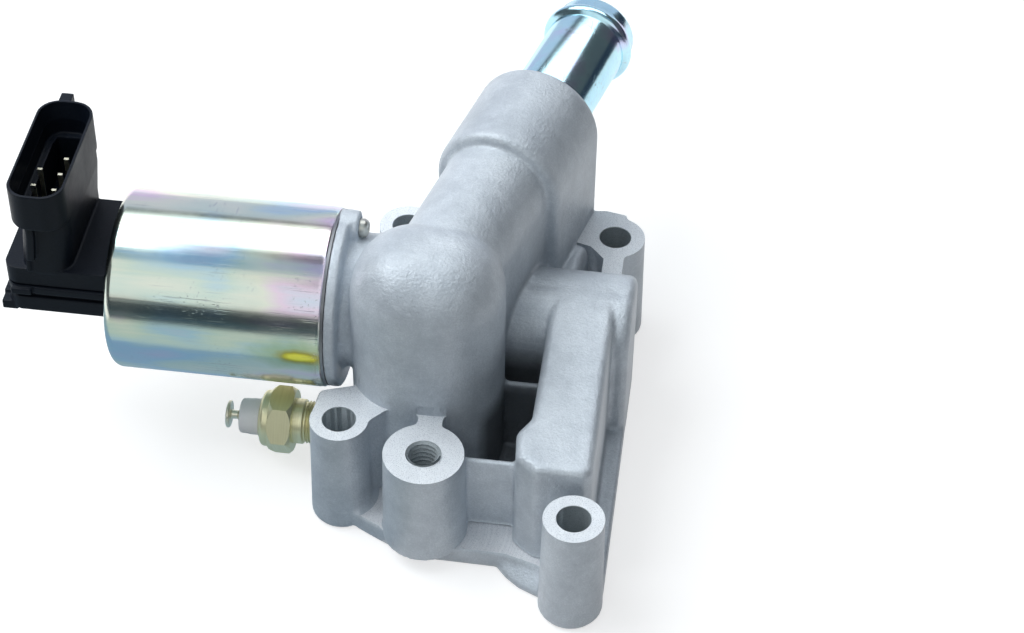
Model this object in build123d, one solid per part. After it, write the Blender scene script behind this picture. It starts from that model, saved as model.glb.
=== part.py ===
"""Exhaust gas recirculation valve: cast housing, solenoid actuator, position sensor head and spigot."""
import math
import os

from build123d import *

os.makedirs("parts", exist_ok=True)

# Frame: mounting face on z = 0, valve axis along x at y = 0, away from the engine is +z
AXIS_Z = 45.92
PLATE_T = 6.0
PLATE_CORNER_R = 4.0
PLATE_EDGE_R = 0.6
PLATE_CHAMFER = 0.8
BOSS_H = 34.66
HOLE_R = 4.5

# Fixing bosses: centre x, centre y, top radius, foot radius
BOSS_FL = (-32.6, -34.9, 7.9, 2.0)
BOSS_FR = (33.3, -61.3, 8.1, 1.0)
BOSS_BR = (33.3, 47.8, 8.6, 2.0)
BOSS_BL = (-26.6, 44.6, 8.3, 2.0)
BOSS_MID = (-8.4, -44.2, 10.8, 1.0)
BOSS_DRAFT = 0.6
BOSS_CHAMFER = 1.0
MID_TAP_R = 4.4
MID_MOUTH_R = 5.2
MID_TAP_DEPTH = 24.0
MID_BOTTOM = 4.6
LOBE_H = 5.2
LOBE_CORNER_R = 2.4
LOBE_TILT = 34.0
LOBE_TURN = -30.0
LOBE_START = (18.6, -51.2)
LOBE_REACH = 3 * BOSS_H
LOBE_EDGE_R = 1.2

# Dome over the coolant port
DOME_X0 = -32.4
DOME_X1 = 8.7
DOME_Y0 = -30.3
DOME_Y1 = 6.4
DOME_TOP = 78.8
DOME_CORNER_R = 17.0
DOME_SHOULDER_R = 16.0
DOME_WALL = 3.5

# Coolant pipe: axis direction in plan, height and reach
PIPE_ANGLE = 75.36
PIPE_X_AT_60 = 7.78
PIPE_Z = 62.26
PIPE_R = 15.04
PIPE_BORE_R = 12.3
COLLAR_R = 18.2
COLLAR_Y0 = 32.0
COLLAR_Y1 = 64.5
COLLAR_FILLET = 2.4

# Coolant spigot
SPIGOT_R = 11.86
SPIGOT_WALL = 1.4
SPIGOT_DEPTH = 16.0
SPIGOT_REACH = 45.0
BEAD_R = 13.7
BEAD_BACK = 5.5
BEAD_L = 3.0

# Gas duct and cross drum
DUCT_X0 = 19.2
DUCT_X1 = 36.8
DUCT_TOP_BACK = 45.3
DUCT_TOP_FRONT = 39.8
DUCT_Y0 = -50.8
DUCT_Y1 = 10.0
DUCT_FILLET = 2.4
DRUM_R = 12.2
DRUM_Y = 16.2
DRUM_X0 = 6.0
DRUM_X1 = 41.8
DRUM_FILLET = 2.6
GAS_WALL = 3.0
RIB_H = 29.6
RIB_EDGE_R = 0.7

# Valve bore and neck
DISC_X0 = -38.6
DISC_X1 = -35.5
BORE_R = 10.05
HUB_R = 15.0
HUB_DEPTH = 4.6
SEAT_X1 = -4.0
SEAT_L = 4.0
CHAMBER_X0 = -21.0
OUTLET_R = 8.0
OUTLET_X1 = 4.6
SHELL_R = 13.4

# Solenoid can
CAN_R = 24.78
DISC_R = CAN_R - 0.48
CAN_WALL = 1.5
CAN_X0 = -98.4
GASKET_T = 0.8
CAN_X1 = DISC_X0 - GASKET_T
CAN_HOLE_R = 10.3
EAR_R = 4.6
EAR_PITCH = CAN_R - 3.58
EAR_ANGLES = (70.7, -55.0)
EAR_X1 = -33.2
SCREW_R = 1.75
SCREW_HEAD_R = 2.6
NECK_R = EAR_PITCH - SCREW_HEAD_R - 0.1

# Solenoid: base plate, coil, pole and armature
BASE_T = 4.0
BASE_R = CAN_R - CAN_WALL - 0.05
SLEEVE_WALL = 0.65
ARM_R = 9.0
ARM_X0 = -74.0
ARM_X1 = -48.0
TRAVEL = 5.0
POLE_GAP = 0.5
SLIDE_GAP = 0.04
POLE_FLANGE_T = 3.4
BOBBIN_FLANGE_T = 2.0
BOBBIN_TUBE_R = 11.2
WINDING_R = CAN_R - 3.78
LEAD_REACH = 6.6
LEAD_R = 12.0
SPRING_POCKET_R = 5.5
SPRING_POCKET = 6.0
SPRING_R = 4.3
SPRING_WIRE_R = 0.5

# Valve stem, guide and seat
STEM_R = 2.5
ROD_R = 1.5
ROD_X0 = -103.0
HEAD_R = 7.6
HEAD_L = 3.0
SEAT_BORE_R = 6.4
SEAT_GAP = 0.1
BUSH_R = 5.0
GUIDE_X0 = -33.8
GUIDE_L = 12.6
SCRAPER_R = 6.5

# Position sensor inside the head
FOLLOWER_R = 5.0
FOLLOWER_L = 10.0
FOLLOWER_SPRING_R = 3.4
FOLLOWER_WIRE_R = 0.4
CARD_T = 1.0

# Temperature sensor
SENSOR_Y = -16.0
SENSOR_Z = 12.2
SENSOR_HEX = 17.0
SENSOR_X = -49.1
SENSOR_R = 6.0
SENSOR_HEX_L = 6.6
SENSOR_THREAD_L = 18.1
SENSOR_TIP_R = 4.2
SENSOR_TIP_L = 9.0
SENSOR_BORE_R = 3.0
CRIMP_R = 7.9
CRIMP_NECK_R = 5.9
CRIMP_L = 2.8
INSULATOR_R = 5.1
INSULATOR_L = 5.9
SOCKET_R = 4.6
SOCKET_L = 3.6
TERMINAL_R = 1.2
TERMINAL_L = 4.0
TERMINAL_DISC_R = 3.9
TERMINAL_DISC_T = 1.0
ELEMENT_R = 2.8
ELEMENT_L = 4.0

# Connector head
HEAD_X0 = -126.3
HEAD_X1 = CAN_X0
HEAD_Y0 = -17.2
HEAD_Y1 = 13.6
HEAD_TOP = 61.5
HEAD_SPLIT = 52.6
HEAD_BOTTOM = 46.3
HEAD_WALL = 1.8
HOOD_X0 = -123.2
HOOD_X1 = -107.8
HOOD_Y0 = -19.9
HOOD_STEM_Y0 = HOOD_Y0 + 2.5
HOOD_Y1 = 20.6
HOOD_TOP = 89.5
HOOD_STEP_Z = 78.0
HOOD_WALL = 1.6
HOOD_FLOOR = 66.0
PIN_TIP = 82.0
PIN_W = 1.3
PINS = ((-112.3, 5.4), (-112.3, -1.0), (-112.3, -7.4), (-118.2, 0.4), (-118.2, -6.2))


def along_x(radius, x0, x1, y=0.0, z=AXIS_Z):
    """Cylinder along x between two stations."""
    shape = Cylinder(radius, x1 - x0, align=(Align.CENTER, Align.CENTER, Align.MIN))
    return Pos(x0, y, z) * Rot(0, 90, 0) * shape


def upright(radius, x, y, z0, z1):
    """Vertical cylinder."""
    return Pos(x, y, z0) * Cylinder(radius, z1 - z0, align=(Align.CENTER, Align.CENTER, Align.MIN))


def block(x0, x1, y0, y1, z0, z1):
    """Box from two corners."""
    box = Box(x1 - x0, y1 - y0, z1 - z0, align=(Align.MIN, Align.MIN, Align.MIN))
    return Pos(x0, y0, z0) * box


def prism(points, z0, z1, radius=0.0):
    """Vertical prism on a polygon with rounded corners."""
    face = make_face(Polyline(*points, close=True))
    if radius > 0:
        face = fillet(face.vertices(), radius)
    return Pos(0, 0, z0) * extrude(face, z1 - z0)


def slab(x0, x1, y0, y1, z0, z1, radius):
    """Vertical prism on a rounded rectangle."""
    face = RectangleRounded(x1 - x0, y1 - y0, radius)
    return Pos((x0 + x1) / 2, (y0 + y1) / 2, z0) * extrude(face, z1 - z0)


def pipe_point(y):
    """Point of the coolant pipe axis at a given y."""
    slope = 1.0 / math.tan(math.radians(PIPE_ANGLE))
    return (PIPE_X_AT_60 + (y - 60.0) * slope, y, PIPE_Z)


def along_pipe(radius, y0, length):
    """Cylinder along the coolant pipe axis."""
    shape = Cylinder(radius, length, align=(Align.CENTER, Align.CENTER, Align.MIN))
    return Pos(*pipe_point(y0)) * Rot(0, 0, PIPE_ANGLE) * Rot(0, 90, 0) * shape


def under_pipe(half, y0, length, z1):
    """Block below the coolant pipe axis, from the mounting face up."""
    box = Box(length, 2 * half, z1, align=(Align.MIN, Align.CENTER, Align.MIN))
    x, y, _ = pipe_point(y0)
    return Pos(x, y, 0) * Rot(0, 0, PIPE_ANGLE) * box


def boss(spec):
    """Drafted fixing boss."""
    x, y, r = spec[:3]
    cone = Cone(r + BOSS_DRAFT, r, BOSS_H, align=(Align.CENTER, Align.CENTER, Align.MIN))
    cone = chamfer(cone.edges().sort_by(Axis.Z)[0], BOSS_CHAMFER)
    return Pos(x, y, 0) * cone


def foot(shape, spec):
    """Edges where a boss stands on the flange."""
    x, y, r = spec[:3]
    reach = r + BOSS_DRAFT + 0.5
    flat = shape.edges().filter_by(lambda e: abs(e.bounding_box().min.Z - PLATE_T) < 0.02)
    flat = flat.filter_by(lambda e: abs(e.bounding_box().max.Z - PLATE_T) < 0.02)
    return flat.filter_by(lambda e: math.hypot(e.center().X - x, e.center().Y - y) < reach)


def soft_rib(x0, x1, y0, y1, z1):
    """Rib standing on the mounting face, with rounded top edges."""
    rib = block(x0, x1, y0, y1, 0, z1)
    return fillet(rib.faces().sort_by(Axis.Z)[-1].edges(), RIB_EDGE_R)


# Flange plate
FLANGE = (
    (41.8, -61.3), (41.8, 29.0), (34.0, 30.5), (27.1, 32.9), (26.8, 37.3), (33.0, 47.8),
    (24.8, 56.6), (21.2, 59.6), (7.3, 60.6), (-4.4, 56.7), (-13.6, 49.4), (-26.6, 44.6),
    (-22.2, 33.0), (-21.9, 1.6), (-27.5, 0.8), (-33.6, -4.5), (-35.2, -12.7), (-34.6, -24.5),
    (-32.6, -34.9), (-28.0, -42.4), (-21.6, -45.8), (-12.0, -50.6), (-6.7, -51.0), (14.0, -51.2),
    (24.0, -54.2), (27.0, -58.0), (33.3, -61.3),
)
housing = prism(FLANGE, 0, PLATE_T, PLATE_CORNER_R)
housing = fillet(housing.faces().sort_by(Axis.Z)[-1].edges(), PLATE_EDGE_R)
housing = chamfer(housing.faces().sort_by(Axis.Z)[0].edges(), PLATE_CHAMFER)
for spec in (BOSS_FL, BOSS_FR, BOSS_BR, BOSS_BL):
    housing += boss(spec)
for spec in (BOSS_FL, BOSS_FR, BOSS_BR, BOSS_BL):
    housing = fillet(foot(housing, spec), spec[3])
housing += boss(BOSS_MID) - upright(2 * BOSS_MID[2], BOSS_MID[0], BOSS_MID[1], -1.0, MID_BOTTOM)

# Low lobe beside the front right boss
LOBE = (
    (10.6, -45.0), (11.9, -51.2), (15.0, -54.8), (18.7, -57.7), (24.4, -60.3), (33.3, -61.3),
    (33.3, -50.0), (24.0, -44.0),
)
lobe = prism(LOBE, 0, LOBE_H, LOBE_CORNER_R)
lobe_slope = Box(LOBE_REACH, LOBE_REACH, LOBE_REACH, align=(Align.CENTER, Align.CENTER, Align.MIN))
lobe -= Pos(*LOBE_START, LOBE_H) * Rot(0, 0, LOBE_TURN) * Rot(LOBE_TILT, 0, 0) * lobe_slope
lobe_rim = lobe.edges().filter_by(lambda e: 0.3 < e.center().Z < LOBE_H - 0.6).filter_by(Axis.Z, reverse=True)
lobe = fillet(lobe_rim, LOBE_EDGE_R)
lobe = chamfer(lobe.faces().sort_by(Axis.Z)[0].edges(), PLATE_CHAMFER)
housing += lobe

# Dome and coolant pipe
dome = slab(DOME_X0, DOME_X1, DOME_Y0, DOME_Y1, 0, DOME_TOP, DOME_CORNER_R)
dome = fillet(dome.faces().sort_by(Axis.Z)[-1].edges(), DOME_SHOULDER_R)
pipe_y0 = -4.0
collar_length = (COLLAR_Y1 - COLLAR_Y0) / math.sin(math.radians(PIPE_ANGLE))
pipe_length = (COLLAR_Y0 - pipe_y0) / math.sin(math.radians(PIPE_ANGLE)) + 2.0
pipe = along_pipe(PIPE_R, pipe_y0, pipe_length) + under_pipe(PIPE_R, pipe_y0, pipe_length, PIPE_Z)
collar = along_pipe(COLLAR_R, COLLAR_Y0, collar_length)
collar += under_pipe(COLLAR_R, COLLAR_Y0, collar_length, PIPE_Z)
collar_ends = collar.edges().filter_by(GeomType.CIRCLE)
collar = fillet(collar_ends, COLLAR_FILLET)
housing += dome + pipe + collar

# Webs from the bosses to the walls
housing += prism(((-40.3, -34.0), (-39.2, -25.0), (-30.8, -22.0), (-20.0, -29.0), (-27.0, -37.0)), 0, BOSS_H)
housing += block(-11.7, -5.1, -38.0, -28.0, 0, BOSS_H)
housing += prism((
    (19.0, 45.6), (24.4, 57.0), (26.6, 58.4), (29.8, 58.9), (35.9, 57.6), (36.1, 50.0), (30.2, 39.0), (28.6, 40.9),
    (26.6, 43.0), (22.6, 44.1),
), 0, BOSS_H)
housing += block(30.9, 36.6, 26.0, 42.0, 0, BOSS_H)
housing += prism(((-27.0, 37.2), (-12.0, 36.0), (-8.0, 50.0), (-26.6, 52.0)), 0, BOSS_H)

# Gas duct with its sloping top
DUCT = (
    (DUCT_X1, DUCT_Y1), (DUCT_X1, -48.6), (34.6, DUCT_Y0), (22.0, DUCT_Y0), (16.2, -46.4),
    (15.4, -38.0), (DUCT_X0 - 0.4, -32.5), (DUCT_X0, DUCT_Y1),
)
duct = prism(DUCT, 0, DUCT_TOP_BACK + 4.0, 3.0)
duct_slope = math.degrees(math.atan2(DUCT_TOP_BACK - DUCT_TOP_FRONT, DUCT_Y1 - DUCT_Y0))
duct_mid = (DUCT_X0 + DUCT_X1) / 2
duct_reach = 3 * (DUCT_Y1 - DUCT_Y0)
cutter = Box(duct_reach, duct_reach, duct_reach, align=(Align.CENTER, Align.CENTER, Align.MIN))
duct -= Pos(duct_mid, DUCT_Y1, DUCT_TOP_BACK) * Rot(duct_slope, 0, 0) * cutter
duct_top = duct.faces().filter_by(lambda f: f.normal_at().Z > 0.5).sort_by(SortBy.AREA)[-1]
duct = fillet(duct_top.edges(), DUCT_FILLET)
drum = along_x(DRUM_R, DRUM_X0, DRUM_X1, DRUM_Y, DUCT_TOP_BACK - DRUM_R)
drum += block(DRUM_X0, DRUM_X1, DRUM_Y - DRUM_R, DRUM_Y + DRUM_R, 0, DUCT_TOP_BACK - DRUM_R)
drum = fillet(drum.faces().sort_by(Axis.X)[-1].edges().filter_by(lambda e: e.center().Z > 4), DRUM_FILLET)
housing += duct + drum

# Cross ribs between the dome, the middle boss and the duct
housing += soft_rib(0.0, 19.0, -40.5, -38.6, RIB_H)
housing += soft_rib(6.0, 21.0, -10.6, -8.7, RIB_H)

# Ridge beside the collar wall
ridge = Pos(23.4, 41.0, 0) * Cylinder(3.0, 32.6, align=(Align.CENTER, Align.CENTER, Align.MIN))
ridge += Pos(23.4, 41.0, 32.6) * Sphere(3.0)
ridge += Pos(22.6, 34.0, 0) * Rot(0, 0, -6) * Box(6.0, 14.0, 32.6, align=(Align.CENTER, Align.CENTER, Align.MIN))
ridge += Pos(22.2, 34.0, 32.6) * Rot(0, 0, -6) * Rot(90, 0, 0) * Cylinder(3.0, 14.0)
housing += ridge

# Neck, disc and screw ears of the valve opening
housing += along_x(NECK_R, DISC_X1 - 0.5, -14.0)
housing += along_x(DISC_R, DISC_X0, DISC_X1)
for turn in EAR_ANGLES:
    ear_y = EAR_PITCH * math.cos(math.radians(turn))
    ear_z = AXIS_Z + EAR_PITCH * math.sin(math.radians(turn))
    housing += along_x(EAR_R, DISC_X0, EAR_X1, ear_y, ear_z)

# Boss for the temperature sensor
housing += along_x(9.0, -43.0, -30.0, SENSOR_Y, SENSOR_Z)

# Coolant cavity, with the wall round the gas chamber left standing
coolant = slab(
    DOME_X0 + DOME_WALL, DOME_X1 - DOME_WALL, DOME_Y0 + DOME_WALL, DOME_Y1 - DOME_WALL,
    8.0, DOME_TOP - DOME_WALL, DOME_CORNER_R - DOME_WALL,
)
coolant = fillet(coolant.faces().sort_by(Axis.Z)[-1].edges(), DOME_SHOULDER_R - DOME_WALL)
coolant += slab(-27.4, 4.0, -27.4, -6.6, -1.0, 12.0, 4.0)
coolant += along_pipe(PIPE_BORE_R, pipe_y0, 90.0)
coolant -= along_x(SHELL_R, DISC_X0, 14.0)
housing -= coolant
housing -= along_x(SENSOR_R, -44.0, -24.0, SENSOR_Y, SENSOR_Z)
socket_start = COLLAR_Y1 - SPIGOT_DEPTH * math.sin(math.radians(PIPE_ANGLE))

# Gas ports and passages
banana = make_face(
    Polyline((5.5, 53.0), (17.0, 53.4), (20.3, 49.5), (20.3, 41.5), (18.3, 37.8), (9.0, 37.3))
    + ThreePointArc((9.0, 37.3), (2.4, 33.9), (-0.7, 26.0))
    + Polyline((-0.7, 26.0), (-0.7, 15.0), (-3.5, 11.4), (-12.0, 11.4), (-14.4, 14.0), (-14.4, 25.0))
    + ThreePointArc((-14.4, 25.0), (-9.6, 42.0), (5.5, 53.0))
)
housing -= Pos(0, 0, -1.0) * extrude(banana, 29.0)
L_PORT = (
    (34.4, 25.6), (6.6, 25.6), (6.6, 11.6), (21.6, 10.0), (21.6, -34.5), (19.0, -37.5),
    (19.0, -45.0), (23.0, -47.8), (33.8, -47.8),
)
housing -= prism(L_PORT, -1.0, 30.0, 1.5)
duct_bore = prism(((34.0, 16.0), (22.2, 16.0), (22.2, -34.5), (22.2, -47.0), (33.4, -47.0)), 29.0, 60.0, 1.5)
duct_bore -= Pos(duct_mid, DUCT_Y1, DUCT_TOP_BACK - GAS_WALL) * Rot(duct_slope, 0, 0) * cutter
housing -= duct_bore
housing -= along_x(8.6, 6.6, 34.4, DRUM_Y + 1.2, 32.6)

# Valve bore, chambers and their links to the ports
housing -= along_x(HUB_R, DISC_X0 - 1.0, DISC_X0 + HUB_DEPTH)
housing -= along_x(BORE_R, DISC_X0, SEAT_X1)
housing -= along_x(OUTLET_R, SEAT_X1 - 1.0, OUTLET_X1)
housing -= block(-18.0, -9.4, -2.0, 19.0, 34.0, 45.5)
housing -= block(-14.4, -6.0, 11.6, 24.0, 26.0, 45.5)
housing -= block(-2.4, OUTLET_X1, 0.0, 18.5, 33.0, 46.0)
housing -= along_x(5.6, -2.4, 10.0, DRUM_Y + 1.2, 37.4)

# Fixing holes
for spec in (BOSS_FL, BOSS_FR, BOSS_BR, BOSS_BL):
    housing -= upright(HOLE_R, spec[0], spec[1], -1.0, BOSS_H + 1.0)
housing -= upright(MID_TAP_R, BOSS_MID[0], BOSS_MID[1], BOSS_H - MID_TAP_DEPTH, BOSS_H + 1.0)
mouth = Cone(MID_TAP_R, MID_MOUTH_R, MID_MOUTH_R - MID_TAP_R, align=(Align.CENTER, Align.CENTER, Align.MAX))
housing -= Pos(BOSS_MID[0], BOSS_MID[1], BOSS_H) * mouth
for turn in EAR_ANGLES:
    ear_y = EAR_PITCH * math.cos(math.radians(turn))
    ear_z = AXIS_Z + EAR_PITCH * math.sin(math.radians(turn))
    housing -= along_x(SCREW_R + 0.3, DISC_X0 - 1.0, EAR_X1 + 1.0, ear_y, ear_z)
export_step(housing, "parts/housing.step")


def ring(outer, inner, x0, x1, y=0.0, z=AXIS_Z):
    """Tube along x."""
    return along_x(outer, x0, x1, y, z) - along_x(inner, x0 - 1.0, x1 + 1.0, y, z)


def taper(r0, r1, x0, x1, y=0.0, z=AXIS_Z):
    """Cone along x."""
    shape = Cone(r0, r1, x1 - x0, align=(Align.CENTER, Align.CENTER, Align.MIN))
    return Pos(x0, y, z) * Rot(0, 90, 0) * shape


def coil_spring(radius, wire, x0, x1, turns):
    """Helical compression spring along x with its wire centre between two stations."""
    length = x1 - x0 - 2 * wire
    path = Helix(length / turns, length, radius)
    start = Plane(origin=path @ 0, z_dir=path % 0)
    body = sweep(start * Circle(wire), path)
    return Pos(x0 + wire, 0, AXIS_Z) * Rot(0, 90, 0) * body


# Coolant spigot pressed into the collar
spigot_length = SPIGOT_DEPTH + SPIGOT_REACH
spigot = along_pipe(SPIGOT_R, socket_start, spigot_length)
bead_y = COLLAR_Y1 + (SPIGOT_REACH - BEAD_BACK) * math.sin(math.radians(PIPE_ANGLE))
bead = along_pipe(BEAD_R, bead_y, BEAD_L)
bead = fillet(bead.edges().filter_by(GeomType.CIRCLE), 0.45 * BEAD_L)
spigot += bead
spigot -= along_pipe(SPIGOT_R - SPIGOT_WALL, socket_start - 2.0, spigot_length + 6.0)
export_step(spigot, "parts/coolant_spigot.step")

# Solenoid can with the openings of its closed end
can = along_x(CAN_R, CAN_X0, CAN_X1)
can = fillet(can.edges().sort_by(Axis.X)[0], 1.2)
can -= along_x(CAN_R - CAN_WALL, CAN_X0 + CAN_WALL, CAN_X1 + 1.0)
lead_slot = block(CAN_X0 - 1.0, CAN_X0 + CAN_WALL + POLE_FLANGE_T + 1.0, -5.0, 5.0, AXIS_Z + 9.9, AXIS_Z + 13.8)
can -= along_x(CAN_HOLE_R, CAN_X0 - 1.0, CAN_X0 + CAN_WALL + 1.0)
can -= lead_slot
export_step(can, "parts/solenoid_can.step")

# Base gasket and base plate
gasket = ring(DISC_R, HUB_R + 0.3, CAN_X1, DISC_X0)
base = along_x(BASE_R, CAN_X1 - BASE_T, CAN_X1)
base += along_x(HUB_R - 0.05, CAN_X1, DISC_X0 + HUB_DEPTH - 0.4)
base -= along_x(ARM_R + SLIDE_GAP + SLEEVE_WALL, CAN_X1 - BASE_T - 1.0, CAN_X1 + 8.0)
screws = []
for turn in EAR_ANGLES:
    ear_y = EAR_PITCH * math.cos(math.radians(turn))
    ear_z = AXIS_Z + EAR_PITCH * math.sin(math.radians(turn))
    gasket -= along_x(SCREW_R + 0.3, CAN_X1 - 1.0, DISC_X0 + 1.0, ear_y, ear_z)
    base -= along_x(SCREW_R, CAN_X1 - BASE_T - 1.0, CAN_X1 + 1.0, ear_y, ear_z)
    screw = along_x(SCREW_R, CAN_X1 - BASE_T, EAR_X1, ear_y, ear_z)
    head = along_x(SCREW_HEAD_R, EAR_X1, EAR_X1 + 2.4, ear_y, ear_z)
    head -= along_x(1.25, EAR_X1 + 1.0, EAR_X1 + 4.0, ear_y, ear_z)
    screws.append(screw + head)
export_step(gasket, "parts/base_gasket.step")
export_step(base, "parts/base_plate.step")
export_step(Compound(screws), "parts/can_screws.step")

# Guide sleeve, pole piece, bobbin and winding
sleeve_r = ARM_R + SLIDE_GAP
pole_x0 = CAN_X0 + CAN_WALL
pole_x1 = ARM_X0 - TRAVEL - POLE_GAP
sleeve = ring(sleeve_r + SLEEVE_WALL, sleeve_r, pole_x0 + POLE_FLANGE_T, CAN_X1 - 0.5)
export_step(sleeve, "parts/guide_sleeve.step")
pole = along_x(ARM_R, pole_x0, pole_x1)
pole += along_x(BASE_R, pole_x0, pole_x0 + POLE_FLANGE_T)
pole -= along_x(ROD_R + 0.25, pole_x0 - 1.0, pole_x1 + 1.0)
pole -= along_x(SPRING_POCKET_R, pole_x1 - SPRING_POCKET, pole_x1 + 1.0)
pole -= lead_slot
export_step(pole, "parts/pole_piece.step")
bobbin_x0 = pole_x0 + POLE_FLANGE_T
bobbin_x1 = CAN_X1 - BASE_T
bobbin_bore = sleeve_r + SLEEVE_WALL + 0.05
bobbin = ring(BOBBIN_TUBE_R, bobbin_bore, bobbin_x0, bobbin_x1)
bobbin += ring(WINDING_R + 1.2, bobbin_bore, bobbin_x0, bobbin_x0 + BOBBIN_FLANGE_T)
bobbin += ring(WINDING_R + 1.2, bobbin_bore, bobbin_x1 - BOBBIN_FLANGE_T, bobbin_x1)
leads = []
for side in (-3.2, 3.2):
    lead = block(
        CAN_X0 - LEAD_REACH, bobbin_x0 + 1.2, side - 0.7, side + 0.7,
        AXIS_Z + LEAD_R - 0.4, AXIS_Z + LEAD_R + 0.4,
    )
    leads.append(lead)
    bobbin -= lead
export_step(bobbin, "parts/coil_bobbin.step")
export_step(Compound(leads), "parts/coil_leads.step")
winding = ring(WINDING_R, BOBBIN_TUBE_R, bobbin_x0 + BOBBIN_FLANGE_T, bobbin_x1 - BOBBIN_FLANGE_T)
export_step(winding, "parts/coil_winding.step")

# Armature and return spring
armature = along_x(ARM_R, ARM_X0, ARM_X1)
armature -= along_x(SPRING_POCKET_R, ARM_X0 - 1.0, ARM_X0 + SPRING_POCKET)
stem_x0 = ARM_X0 + SPRING_POCKET + 4.0
armature -= along_x(ROD_R, ARM_X0, stem_x0)
armature -= along_x(STEM_R, stem_x0, ARM_X1 + 1.0)
for turn in (45, 225):
    vent_y = 6.6 * math.cos(math.radians(turn))
    vent_z = AXIS_Z + 6.6 * math.sin(math.radians(turn))
    armature -= along_x(0.9, ARM_X0 - 1.0, ARM_X1 + 1.0, vent_y, vent_z)
export_step(armature, "parts/armature.step")
spring = coil_spring(SPRING_R, SPRING_WIRE_R, pole_x1 - SPRING_POCKET, ARM_X0 + SPRING_POCKET, 6)
export_step(spring, "parts/return_spring.step")

# Pintle: rod, stem and valve head closing towards +x
seat_x0 = SEAT_X1 - SEAT_L
cone_x = seat_x0 - 0.2 - SEAT_GAP
pintle = along_x(ROD_R, ROD_X0, stem_x0)
pintle += along_x(STEM_R, stem_x0, cone_x - HEAD_L)
pintle += taper(STEM_R, HEAD_R, cone_x - HEAD_L - 3.0, cone_x - HEAD_L)
pintle += along_x(HEAD_R, cone_x - HEAD_L, cone_x)
pintle += taper(HEAD_R, HEAD_R - 2.0, cone_x, cone_x + 2.0)
pintle += taper(HEAD_R - 2.0, 2.0, cone_x + 2.0, cone_x + 3.6)
export_step(pintle, "parts/pintle.step")
seat = ring(BORE_R, SEAT_BORE_R, seat_x0, SEAT_X1)
seat -= taper(SEAT_BORE_R + 1.0, SEAT_BORE_R, seat_x0, seat_x0 + 1.0)
export_step(seat, "parts/valve_seat.step")

# Stem guide with its bush and scraper
guide_x1 = GUIDE_X0 + GUIDE_L
guide = along_x(BORE_R, GUIDE_X0, guide_x1)
guide -= along_x(BUSH_R, GUIDE_X0 - 1.0, guide_x1 + 1.0)
guide -= along_x(SCRAPER_R, guide_x1 - 3.0, guide_x1 + 1.0)
export_step(guide, "parts/stem_guide.step")
bush = ring(BUSH_R, STEM_R + SLIDE_GAP, GUIDE_X0 + 0.4, guide_x1 - 3.4)
export_step(bush, "parts/stem_bush.step")
scraper = ring(SCRAPER_R, STEM_R + 0.1, guide_x1 - 3.0, guide_x1 - 1.0)
export_step(scraper, "parts/stem_scraper.step")

# Temperature sensor
hex_x0 = SENSOR_X - SENSOR_HEX_L
crimp_x0 = hex_x0 - CRIMP_L
thread_x1 = SENSOR_X + SENSOR_THREAD_L
tip_x1 = thread_x1 + SENSOR_TIP_L
socket_x1 = hex_x0 + SOCKET_L
element_x0 = tip_x1 - CRIMP_L - 2 * TERMINAL_R - TERMINAL_DISC_T / 5
hexagon = extrude(RegularPolygon(SENSOR_HEX / 2, 6, major_radius=False), SENSOR_HEX_L)
hexagon = Pos(hex_x0, SENSOR_Y, SENSOR_Z) * Rot(0, 90, 0) * hexagon
sensor = hexagon & along_x(SENSOR_HEX / 2 + 1.0, hex_x0 - 1.0, SENSOR_X + 1.0, SENSOR_Y, SENSOR_Z)
sensor += along_x(SENSOR_R, SENSOR_X, thread_x1, SENSOR_Y, SENSOR_Z)
sensor += along_x(SENSOR_TIP_R, thread_x1, tip_x1, SENSOR_Y, SENSOR_Z)
sensor += taper(CRIMP_NECK_R, CRIMP_R, crimp_x0, hex_x0 - 1.0, SENSOR_Y, SENSOR_Z)
sensor += along_x(CRIMP_R, hex_x0 - 1.0, hex_x0, SENSOR_Y, SENSOR_Z)
sensor -= along_x(SOCKET_R, crimp_x0 - 1.0, socket_x1, SENSOR_Y, SENSOR_Z)
sensor -= along_x(SENSOR_BORE_R, socket_x1 - 1.0, tip_x1 - 1.2, SENSOR_Y, SENSOR_Z)
export_step(sensor, "parts/sensor_body.step")
insulator_x0 = crimp_x0 - INSULATOR_L
insulator = along_x(INSULATOR_R, insulator_x0, crimp_x0, SENSOR_Y, SENSOR_Z)
insulator += along_x(SOCKET_R, crimp_x0, socket_x1, SENSOR_Y, SENSOR_Z)
insulator -= along_x(TERMINAL_R, insulator_x0 - 1.0, socket_x1 + 1.0, SENSOR_Y, SENSOR_Z)
export_step(insulator, "parts/sensor_insulator.step")
disc_x1 = insulator_x0 - TERMINAL_L + TERMINAL_DISC_T + 0.1
terminal = along_x(TERMINAL_R, insulator_x0 - TERMINAL_L + 0.6, element_x0, SENSOR_Y, SENSOR_Z)
terminal += along_x(TERMINAL_DISC_R, disc_x1 - TERMINAL_DISC_T, disc_x1, SENSOR_Y, SENSOR_Z)
export_step(terminal, "parts/sensor_terminal.step")
element = along_x(ELEMENT_R, element_x0, element_x0 + ELEMENT_L, SENSOR_Y, SENSOR_Z)
export_step(element, "parts/sensor_element.step")

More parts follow.
